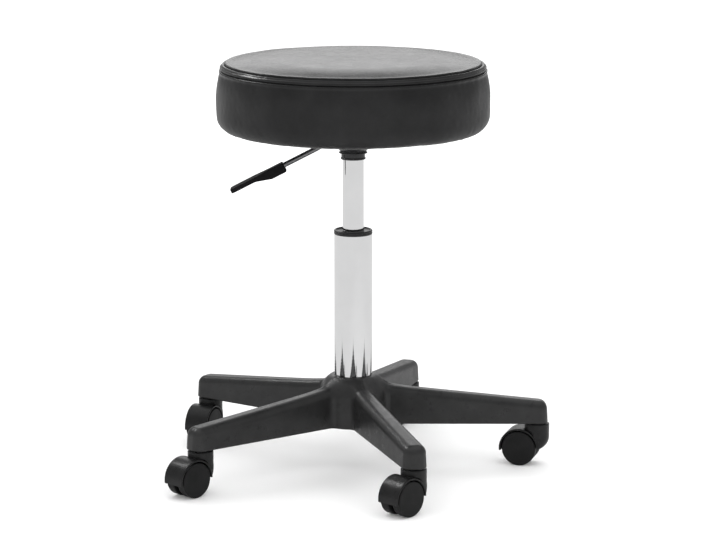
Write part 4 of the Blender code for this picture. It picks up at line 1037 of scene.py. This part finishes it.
def collar_shell():
    """The socket under the seat: a flare by a power of the height, a flange, a neck and a lip, turned."""
    top, foot = COLLAR_HIGH.z, COLLAR_LOW.z
    mouth, throat, flange, neck, lip = COLLAR_HIGH.x, 0.0172, 0.0187, 0.0156, 0.0164
    flange_top, flange_foot, bevel = foot + 0.0098, foot + 0.0080, 0.0006
    share = np.linspace(1.0, 0.0, 12)
    flare = np.column_stack([throat + (mouth - throat) * share**1.5, flange_top + (top - flange_top) * share])
    rest = [(flange, flange_top - bevel), (flange, flange_foot), (neck, flange_foot - bevel),
            (neck, foot + 0.0026), (lip, foot + 0.0018), (lip, foot), (LIFT_RADIUS + FIT, foot),
            (LIFT_RADIUS - 0.0003, top)]
    return lathed(np.concatenate([flare, rest]), ease=0.0003)


class StoolColumnSettings(bpy.types.PropertyGroup):
    chrome_colour: FloatVectorProperty(
        name="Chrome colour", description="Tone of the polished chrome",
        default=(0.95, 0.95, 0.955), **COLOUR)
    # Tone of the painted shade in the pressed flutes.
    flute_shade_colour: FloatVectorProperty(
        name="Flute colour", description="Tone of the pressed flutes",
        default=(0.11, 0.11, 0.112), **COLOUR)


class STOOL_OT_column(bpy.types.Operator):
    """Make the chromed column with its bush and collar"""
    bl_idname = "stool.column"
    bl_label = "Column"

    def execute(self, context):
        tube, marks = stand_tube_shell()
        piece("fluted_stand_tube", [tube], chrome(), "base", ("stand_tube",), sharp_deg=30.0,
              marks=marks)
        piece("guide_collar", [bush_shell()], bush_plastic(), "base", ("guide_bush",))
        piece("lift_tube", [lift_shell()], chrome(), "seat", ("pressure_tube",))
        piece("seat_socket", [collar_shell()], black_paint(), "seat", ("seat_collar",))
        return {"FINISHED"}


# Base


def leg_columns():
    """Half of one leg's plan, from the hub's wall to the tip's middle.

    The wall is an arc about the hub, the crotch an arc that meets it and the leg's side, then a straight
    side, a round corner and the tip. Gives each point with its outward normal, the inner point that it
    faces, its rise from the hub's dome to the leg's top, and whether its inner point is on the bore.
    """
    across = LEG_ROOT_HALF + CROTCH_RADIUS
    along = math.sqrt((HUB_RADIUS + CROTCH_RADIUS) ** 2 - across**2)
    wall_deg = math.degrees(math.atan2(across, along))
    bore = TAPER_TOP + FIT
    hub = arc((0.0, 0.0), HUB_RADIUS, LEG_PITCH_DEG / 2, wall_deg, 6)
    steps = 16
    crotch = arc((along, across), CROTCH_RADIUS, 180.0 + wall_deg, 270.0, steps)[1:]
    crotch_share = np.linspace(0.0, 1.0, steps + 1)[1:]
    bend = np.radians(wall_deg * (1 - crotch_share))
    end, root = STEM_CIRCLE + LEG_TIP_REACH - LEG_TIP_CORNER, 0.16
    share = np.concatenate([np.linspace(0.0, root, 10)[1:], np.linspace(root, 1.0, 16)[1:]])[:, None]
    side = np.array([along, LEG_ROOT_HALF]) + share * np.array([end - along, LEG_TIP_HALF - LEG_ROOT_HALF])
    corner_at = np.array([end, LEG_TIP_HALF - LEG_TIP_CORNER])
    corner = arc(corner_at, LEG_TIP_CORNER, 90.0, 0.0, 12)[1:]
    tip = np.array([(end + LEG_TIP_CORNER, corner_at[1] / 2), (end + LEG_TIP_CORNER, 0.0)])
    spots = np.concatenate([hub, crotch, side, corner, tip])
    outward = np.concatenate([hub / HUB_RADIUS, (np.array([along, across]) - crotch) / CROTCH_RADIUS,
                              np.tile([0.0, 1.0], (len(side), 1)), (corner - corner_at) / LEG_TIP_CORNER,
                              np.tile([1.0, 0.0], (len(tip), 1))])
    reach = bore + (STEM_CIRCLE - bore) * share
    spine = np.concatenate([hub * bore / HUB_RADIUS, bore * np.column_stack([np.cos(bend), np.sin(bend)]),
                            np.column_stack([reach, np.zeros_like(reach)]),
                            np.tile([STEM_CIRCLE, 0.0], (len(corner) + len(tip), 1))])
    inner = len(hub) + len(crotch)
    rise = np.concatenate([np.zeros(len(hub)), smooth(crotch_share), np.ones(len(spots) - inner)])
    return spots, outward, spine, rise, np.arange(len(spots)) < inner


def star_columns():
    """The whole star's plan: both halves of each leg, turned to the five directions."""
    spots, outward, spine, rise, on_bore = leg_columns()
    flip = np.array([1.0, -1.0])
    back = np.arange(len(rise))[-2:0:-1]
    plan = [[], [], [], []]
    for angle in LEG_ANGLES:
        turn = about_z(angle)[:2, :2].T
        for rows, values in zip(plan, (spots, outward, spine)):
            rows.append(np.concatenate([values * flip, values[back]]) @ turn)
        plan[3].append(np.tile([math.cos(angle), math.sin(angle)], (len(rise) + len(back), 1)))
    whole = [np.tile(np.concatenate([values, values[back]]), len(LEG_ANGLES)) for values in (rise, on_bore)]
    return *(np.concatenate(rows) for rows in plan), *whole


def ridge_height(reach):
    """Height of a leg's top, which falls evenly from the hub to the stem."""
    share = (reach - HUB_RADIUS) / (STEM_CIRCLE - HUB_RADIUS)
    return UNDERSIDE + LEG_ROOT_HEIGHT + (LEG_TIP_HEIGHT - LEG_ROOT_HEIGHT) * share


def top_height(flat, legs, rise):
    """Height of the star's top: the hub's dome, drawn up to the leg's ridge with a soft maximum.

    The dome falls from the tube in a smooth step, round above and hollow below, and evenly beyond the hub.
    """
    radius = np.linalg.norm(flat, axis=-1)
    across = clamped((radius - TUBE_RADIUS) / HUB_SKIRT)
    dome = HUB_TOP - HUB_SHOULDER * smooth(across) - np.clip(radius - HUB_REACH, 0.0, None)
    ridge = ridge_height(np.maximum((flat * legs).sum(-1), HUB_RADIUS))
    highest = (dome + ridge + np.sqrt((dome - ridge) ** 2 + RIDGE_SOFTNESS**2)) / 2
    return dome + (highest - dome) * rise


def star_shell(settings):
    """The hollow star: rings over the top, round a fillet, down the drafted walls, back under the ceiling."""
    spots, outward, spine, legs, rise, on_bore = star_columns()
    fillet = settings.fillet

    def ring(inset, sink, spread=1.0):
        flat = spine + (spots - outward * inset - spine) * spread
        return np.column_stack([flat, top_height(flat, legs, rise) - sink])

    def floor(inset, up=0.0):
        return np.column_stack([spots - outward * inset, np.full(len(spots), UNDERSIDE + up)])

    rows = [ring(LEG_DRAFT + fillet, 0.0, spread) for spread in np.linspace(0.0, 1.0, 15)]
    for turn in np.radians(np.linspace(0.0, 90.0, 13))[1:]:
        rows.append(ring(LEG_DRAFT + fillet * (1 - math.sin(turn)), fillet * (1 - math.cos(turn))))
    wall_top, wall_foot = rows[-1], floor(0.0, LEG_EDGE)
    rows += [wall_top + (wall_foot - wall_top) * share for share in (0.08, 0.5, 0.94)]
    rows += [wall_foot, floor(LEG_EDGE * 0.3, LEG_EDGE * 0.3), floor(LEG_EDGE), floor(LEG_WALL)]
    ceiling = LEG_DRAFT + LEG_WALL
    soft = ceiling + LEG_FILLET / 2
    rows += [ring(ceiling, LEG_WALL + LEG_FILLET), ring(soft, LEG_WALL + LEG_FILLET / 3),
             ring(soft, LEG_WALL, 0.84), ring(soft, LEG_WALL, 0.0)]
    points, faces = shell(np.stack(rows))
    count = len(spots)
    last = (len(rows) - 1) * count
    here = np.flatnonzero(on_bore & np.roll(on_bore, -1))
    ahead = (here + 1) % count
    bore = np.column_stack([here + last, ahead + last, ahead, here])
    return points, np.concatenate([faces, bore])


def leg_rib_shells(angle):
    """One leg's ribs: a plate along the leg, three across it, and the stem's socket, turned."""
    def ceiling(reach):
        return ridge_height(reach) - LEG_WALL + 0.001

    turn = about_z(angle)
    foot, start, end = UNDERSIDE + 0.004, 0.0245, STEM_CIRCLE - 0.0078
    spine = slab([(start, foot), (end, foot), (end, ceiling(end)), (HUB_RADIUS, ceiling(HUB_RADIUS)),
                  (start, ceiling(HUB_RADIUS))], RIB_HALF)
    parts = [moved(spine, turn @ UPRIGHT)]
    first = HUB_RADIUS + CROTCH_RADIUS
    pitch = (STEM_CIRCLE - first) / 4
    low, side, flat, bevel = UNDERSIDE + 0.006, 0.0125, 0.0072, 0.0075
    for number in (1, 2, 3):
        reach = first + pitch * number
        top = ceiling(reach)
        plate = slab([(-side, low), (side, low), (side, top - bevel), (flat, top), (-flat, top),
                      (-side, top - bevel)], RIB_HALF)
        parts.append(moved(plate, turn @ ACROSS, turn @ np.array([reach, 0.0, 0.0])))
    outer, hole, roof, depth = 0.0103, 0.0058, ceiling(STEM_CIRCLE), UNDERSIDE + 0.0228
    socket = turned(eased([(0.0, roof), (0.0075, roof), (outer, roof - 0.004), (outer, UNDERSIDE),
                           (hole, UNDERSIDE), (hole, depth), (0.0, depth)], ease=0.0004), sides=48)
    return parts + [moved(socket, None, turn @ np.array([STEM_CIRCLE, 0.0, 0.0]))]


def hub_socket_shell():
    """The hub's socket: a ring round the stand tube's taper, stepped at its foot, turned."""
    low, top = UNDERSIDE + 0.0012, HUB_TOP - 0.003
    outer = taper_radius(low) + 0.0055
    step, step_top = outer - 0.0025, low + 0.0103
    bore_top, bore_low = taper_radius(top) + FIT, taper_radius(low) + FIT
    return lathed([(step, low), (step, step_top), (outer, step_top), (outer, HUB_TOP - 0.005),
                   (bore_top, HUB_TOP - 0.0018), (bore_low, low)], ease=0.0003, sides=96)


class StoolBaseSettings(bpy.types.PropertyGroup):
    nylon_colour: FloatVectorProperty(
        name="Nylon colour", description="Colour of the moulded base",
        default=(0.019, 0.019, 0.0193), **COLOUR)
    fillet: FloatProperty(
        name="Leg fillet", description="Radius along the legs' top edges", default=LEG_FILLET, **LENGTH)


class STOOL_OT_base(bpy.types.Operator):
    """Make the five-legged base"""
    bl_idname = "stool.base"
    bl_label = "Base"

    def execute(self, context):
        star = star_shell(context.scene.stool_base)
        piece("moulded_star", [star], base_nylon(), "base", ("star_base",), sharp_deg=44.0)
        ribs = [part for angle in LEG_ANGLES for part in leg_rib_shells(angle)]
        piece("star_ribs", ribs + [hub_socket_shell()], base_nylon(), "base")
        return {"FINISHED"}


# Casters


def barrel_shell():
    """The hood's neck: level rings, each half a superellipse to the front and half to the back.

    The front tucks in under the stem by a quarter sine, the back follows the arch's roof up to the neck's own
    back, and the top edge is eased.
    """
    rise, levels, sides = HOOD_TOP - WHEEL_RADIUS, 44, 96
    turn = np.linspace(0.0, math.pi / 2, 7)[1:]
    height = np.concatenate([np.linspace(0.0, rise - NECK_EASE, levels),
                             rise - NECK_EASE * (1 - np.sin(turn))])
    inset = np.concatenate([np.zeros(levels), NECK_EASE * (1 - np.cos(turn))])
    overlap, sink = 0.0014, 0.0012
    lip = TRAIL - WELL_RADIUS - overlap
    tuck = np.sqrt(1 - (1 - np.minimum(height / NECK_TUCK, 1.0)) ** 2)
    front = lip - (NECK_FRONT + lip) * tuck + inset
    roof = TRAIL - np.sqrt(np.clip((HOOD_RADIUS - sink) ** 2 - height**2, 0.0, None))
    back = np.minimum(NECK_BACK, roof) - inset
    middle = np.minimum(back, 0.0)
    angle, power = around(sides), 2.0 / 2.2
    along, aside = (np.sign(wave) * np.abs(wave) ** power for wave in (np.cos(angle), np.sin(angle)))
    reach = np.where(along > 0, (back - middle)[:, None], (middle - front)[:, None])
    level = np.repeat((WHEEL_RADIUS + height)[:, None], sides, 1)
    half = (NECK_HALF_WIDTH - inset)[:, None]
    return swept(np.stack([middle[:, None] + along * reach, aside * half, level], -1))


def hood_shells():
    """The hood: an eased band carried round the axle as an arch, the neck under the stem, and a web."""
    angle = np.radians(np.linspace(HOOD_LOW_DEG, 180.0, 96))[:, None]
    rim = HOOD_HALF_WIDTH
    corners = [(WELL_RADIUS, -rim), (HOOD_RADIUS, -rim), (HOOD_RADIUS, rim), (WELL_RADIUS, rim)]
    radius, aside = eased(corners, ease=0.0011, closed=True).T
    arch = swept(np.stack([TRAIL + radius * np.cos(angle), np.repeat(aside[None], len(angle), 0),
                           WHEEL_RADIUS + radius * np.sin(angle)], -1))
    overlap, web_low, web_half = 0.0005, 0.0125, 0.003
    roof = arc((0.0, 0.0), WELL_RADIUS + overlap, HOOD_LOW_DEG, 180.0, 40)
    low = arc((0.0, 0.0), web_low, 180.0, 342.6, 24)
    web = slab(np.concatenate([roof, low]), web_half, ease=0.0003)
    return [arch, barrel_shell(), moved(web, UPRIGHT, (TRAIL, 0.0, WHEEL_RADIUS))]


def wheel_shell():
    """One wheel about Z, its face up: a slightly domed face, a crisp edge, a plain tread, an open back."""
    tread, face = WHEEL_RADIUS, WHEEL_WIDTH
    boss, hole, inside, cover = 0.0064, 0.0033, face - 0.0032, face - 0.0012
    edge, rise, fall = 0.0007, 0.0003, 0.0005
    radius = np.linspace(0.0, tread - edge, 12)
    dome = np.column_stack([radius, face + rise - fall * (radius / tread) ** 2])
    rest = [(tread, face - 0.0009), (tread, 0.0022), (tread - 0.0006, 0.0), (tread - WHEEL_RIM, 0.0),
            (tread - WHEEL_RIM, inside), (boss, inside), (boss, 0.0), (hole, 0.0), (hole, cover),
            (0.0, cover)]
    return turned(eased(np.concatenate([dome, rest]), ease=0.0004, steps=3))


class StoolCasterSettings(bpy.types.PropertyGroup):
    hood_colour: FloatVectorProperty(
        name="Hood colour", description="Colour of the casters' hoods",
        default=(0.009, 0.009, 0.0093), **COLOUR)
    wheel_colour: FloatVectorProperty(
        name="Wheel colour", description="Colour of the wheels",
        default=(0.010, 0.010, 0.0102), **COLOUR)


class STOOL_OT_casters(bpy.types.Operator):
    """Make the hooded casters and their wheels"""
    bl_idname = "stool.casters"
    bl_label = "Casters"

    def execute(self, context):
        hood = hood_shells()
        wheel = wheel_shell()
        for index in CASTERS:
            stem = joint_at(f"caster_{index}_swivel")
            axle = joint_at(f"wheel_{index}_left_roll")
            turn = about_z(math.atan2(axle[1] - stem[1], axle[0] - stem[0]))
            foot = (stem[0], stem[1], 0.0)
            piece(f"swivel_hood_{index}", [moved(part, turn, foot) for part in hood], hood_nylon(),
                  f"caster_{index}", (f"caster_hood_{index}",))
            for side, way in (("left", 1.0), ("right", -1.0)):
                tip = np.array([[1.0, 0.0, 0.0], [0.0, 0.0, way], [0.0, -way, 0.0]])
                offset = axle + turn @ np.array([0.0, way * WHEEL_INNER, 0.0])
                piece(f"roller_{index}_{side}", [moved(wheel, turn @ tip, offset)], wheel_nylon(),
                      f"wheel_{index}_{side}", (f"wheel_{index}_{side}",))
        return {"FINISHED"}


# Solids that stay


class STOOL_OT_inner_pieces(bpy.types.Operator):
    """Give the solids that stay, most of them inside, their finishes"""
    bl_idname = "stool.inner_pieces"
    bl_label = "Inner pieces"

    def execute(self, context):
        steel = ["hub_ring", "lower_race", "upper_race", "piston_rod", "rod_clip", "release_pin",
                 "lever_pivot_pin"]
        steel += [f"caster_{kind}_{index}" for kind in ("stem", "axle") for index in CASTERS]
        finishes = [(steel, zinc), (["ball_cage", "piston", "rod_guide"], inner_plastic),
                    (["bump_stop"], stop_rubber), (["seat_board"], plywood)]
        for names, finish in finishes:
            for name in names:
                frame["nodes"][name].data.materials[0] = finish()
        return {"FINISHED"}


# Stage


def paper(settings):
    """Seamless paper: a pale tone with the faintest unevenness, greyer in what it bounces to the stool."""
    finish = Finish("studio_paper", Specular_IOR_Level=0.0)
    path = finish.add("ShaderNodeLightPath").outputs

    def tone(share, high=1.005):
        return finish.tint(tuple(share * channel for channel in settings.floor_colour), 0.995, high, 0.8)

    unseen = finish.blend(path["Is Glossy Ray"], tone(settings.bounced), tone(settings.mirrored))
    finish.colour(finish.blend(path["Is Camera Ray"], unseen, tone(1.0, 1.0)))
    finish.roughness(finish.patches(0.5, 0.9, 1.0))
    return finish.material


def studio_floor(settings):
    """A level grid, far wider than the view, just under the wheels."""
    across = np.linspace(-FLOOR_REACH, FLOOR_REACH, 9)
    east, north = np.meshgrid(across, across)
    points, faces = shell(np.stack([east, north, np.full_like(east, -FLOOR_DROP)], -1), wrap_columns=False)
    mesh = new_mesh("studio_floor", points, faces.tolist())
    mesh.materials.append(paper(settings))
    floor = placed("studio_floor", mesh)


def white_room(world, ambient, reflected):
    """White to the eye; what it gives as light and in reflections is set apart."""
    world.use_nodes = True
    graph = Graph(world.node_tree)
    path = graph.add("ShaderNodeLightPath").outputs
    seen = graph.math("MAXIMUM", path["Is Camera Ray"], path["Is Transmission Ray"])
    light = graph.spread(path["Is Glossy Ray"], ambient, reflected)
    background = world.node_tree.nodes["Background"]
    background.inputs["Color"].default_value = grey(1.0)
    graph.feed(background.inputs["Strength"], graph.spread(seen, light, 1.0))


def lamp(name, kind, place, target, strength, **settings):
    """A lamp that looks from its place to a target and isn't seen itself."""
    data = bpy.data.lights.new(name, kind)
    data.energy = strength
    for key, value in settings.items():
        setattr(data, key, value)
    made = placed(name, data)
    made.location = place
    aim = np.array(target) - np.array(place)
    tilt = math.acos(-aim[2] / np.linalg.norm(aim))
    made.rotation_euler = (tilt, 0.0, math.atan2(aim[1], aim[0]) - math.pi / 2)
    made.visible_camera = False


def studio_lamps(settings):
    """Soft light from above, a wide lamp behind the stool, and a narrow shadowless beam on the seat."""
    turn, away = settings.azimuth, BACK_LIGHT_DISTANCE
    behind = (-away * math.sin(turn), away * math.cos(turn), BACK_LIGHT_HEIGHT)
    lamp("overhead_light", "SUN", OVERHEAD_AT, MIDDLE, settings.key_strength, angle=math.radians(80.0))
    lamp("back_light", "AREA", behind, MIDDLE, settings.back_power, shape="RECTANGLE", size=2.4, size_y=1.3)
    lamp("side_light", "AREA", SIDE_LIGHT_AT, SIDE_LIGHT_TARGET, settings.side_power, shape="RECTANGLE",
         size=1.0, size_y=0.4, spread=math.radians(20.0), use_shadow=False)


def photo_camera(settings):
    """The camera fitted to the photo, turned by a small yaw from the column."""
    data = bpy.data.cameras.new("photo_view")
    data.lens = settings.lens
    data.sensor_fit = "HORIZONTAL"
    data.sensor_width = SENSOR_WIDTH
    data.clip_start, data.clip_end = 0.05, 100.0
    camera = placed("photo_view", data)
    turn, away = settings.azimuth, settings.distance
    camera.location = (away * math.sin(turn), -away * math.cos(turn), settings.height)
    camera.rotation_euler = (math.pi / 2 - settings.tilt, 0.0, turn - CAMERA_YAW)
    return camera


class StoolStageSettings(bpy.types.PropertyGroup):
    floor_colour: FloatVectorProperty(
        name="Floor colour", description="Colour of the studio floor",
        default=(1.0, 1.0, 1.0), **COLOUR)
    bounced: FloatProperty(
        name="Bounced", description="Share of the floor's tone that the stool is lit by", default=0.95,
        min=0.0, max=1.0)
    mirrored: FloatProperty(
        name="Mirrored", description="Share of the floor's tone in reflections", default=0.53,
        min=0.0, max=1.0)
    ambient: FloatProperty(
        name="Ambient", description="Light from the room all round", default=1.14, min=0.0)
    reflected: FloatProperty(
        name="Reflected", description="Brightness of the room in reflections", default=0.35, min=0.0)
    key_strength: FloatProperty(
        name="Overhead light", description="Strength of the soft light from above", default=0.5, min=0.0)
    back_power: FloatProperty(
        name="Back light", description="Power of the wide lamp behind the stool", default=12.8, unit="POWER")
    side_power: FloatProperty(
        name="Side light", description="Power of the narrow lamp at the left", default=0.5, unit="POWER")
    lens: FloatProperty(
        name="Lens", description="Focal length on a 36 mm wide sensor, in millimetres", default=149.52)
    distance: FloatProperty(
        name="Distance", description="Camera's distance from the column", default=3.83177, **LENGTH)
    height: FloatProperty(
        name="Height", description="Camera's height over the floor", default=1.03609, **LENGTH)
    azimuth: FloatProperty(
        name="Azimuth", description="Camera's turn round the stool", default=math.radians(FRONT_DEG),
        subtype="ANGLE")
    tilt: FloatProperty(
        name="Tilt", description="How far the camera looks down", default=0.1991, subtype="ANGLE")


class STOOL_OT_stage(bpy.types.Operator):
    """Make the floor, the lights and the camera"""
    bl_idname = "stool.stage"
    bl_label = "Stage"

    def execute(self, context):
        scene = context.scene
        settings = scene.stool_stage
        studio_floor(settings)
        scene.world = scene.world or bpy.data.worlds.new("white_room")
        white_room(scene.world, settings.ambient, settings.reflected)
        studio_lamps(settings)
        scene.camera = photo_camera(settings)
        scene.view_settings.view_transform = "Standard"
        return {"FINISHED"}


class STOOL_PT_panel(bpy.types.Panel):
    """Lists the stool's pieces in the sidebar"""
    bl_idname = "STOOL_PT_panel"
    bl_label = "Rolling stool"
    bl_space_type = "VIEW_3D"
    bl_region_type = "UI"
    bl_category = "Stool"

    def draw(self, context):
        for operator in OPERATORS:
            self.layout.operator(operator.bl_idname)


SETTINGS = {
    "stool_cushion": StoolCushionSettings,
    "stool_lever": StoolLeverSettings,
    "stool_column": StoolColumnSettings,
    "stool_base": StoolBaseSettings,
    "stool_casters": StoolCasterSettings,
    "stool_stage": StoolStageSettings,
}
OPERATORS = (STOOL_OT_stage, STOOL_OT_cushion, STOOL_OT_underside, STOOL_OT_lever, STOOL_OT_column,
             STOOL_OT_base, STOOL_OT_casters, STOOL_OT_inner_pieces)


def register():
    for kind in (*SETTINGS.values(), *OPERATORS, STOOL_PT_panel):
        bpy.utils.register_class(kind)
    for name, kind in SETTINGS.items():
        setattr(bpy.types.Scene, name, PointerProperty(type=kind))


def unregister():
    for name in SETTINGS:
        delattr(bpy.types.Scene, name)
    for kind in reversed((*SETTINGS.values(), *OPERATORS, STOOL_PT_panel)):
        bpy.utils.unregister_class(kind)


def main():
    register()
    bpy.ops.stool.stage()
    bpy.ops.stool.cushion()
    bpy.ops.stool.underside()
    bpy.ops.stool.lever()
    bpy.ops.stool.column()
    bpy.ops.stool.base()
    bpy.ops.stool.casters()
    bpy.ops.stool.inner_pieces()


if __name__ == "__main__":
    main()
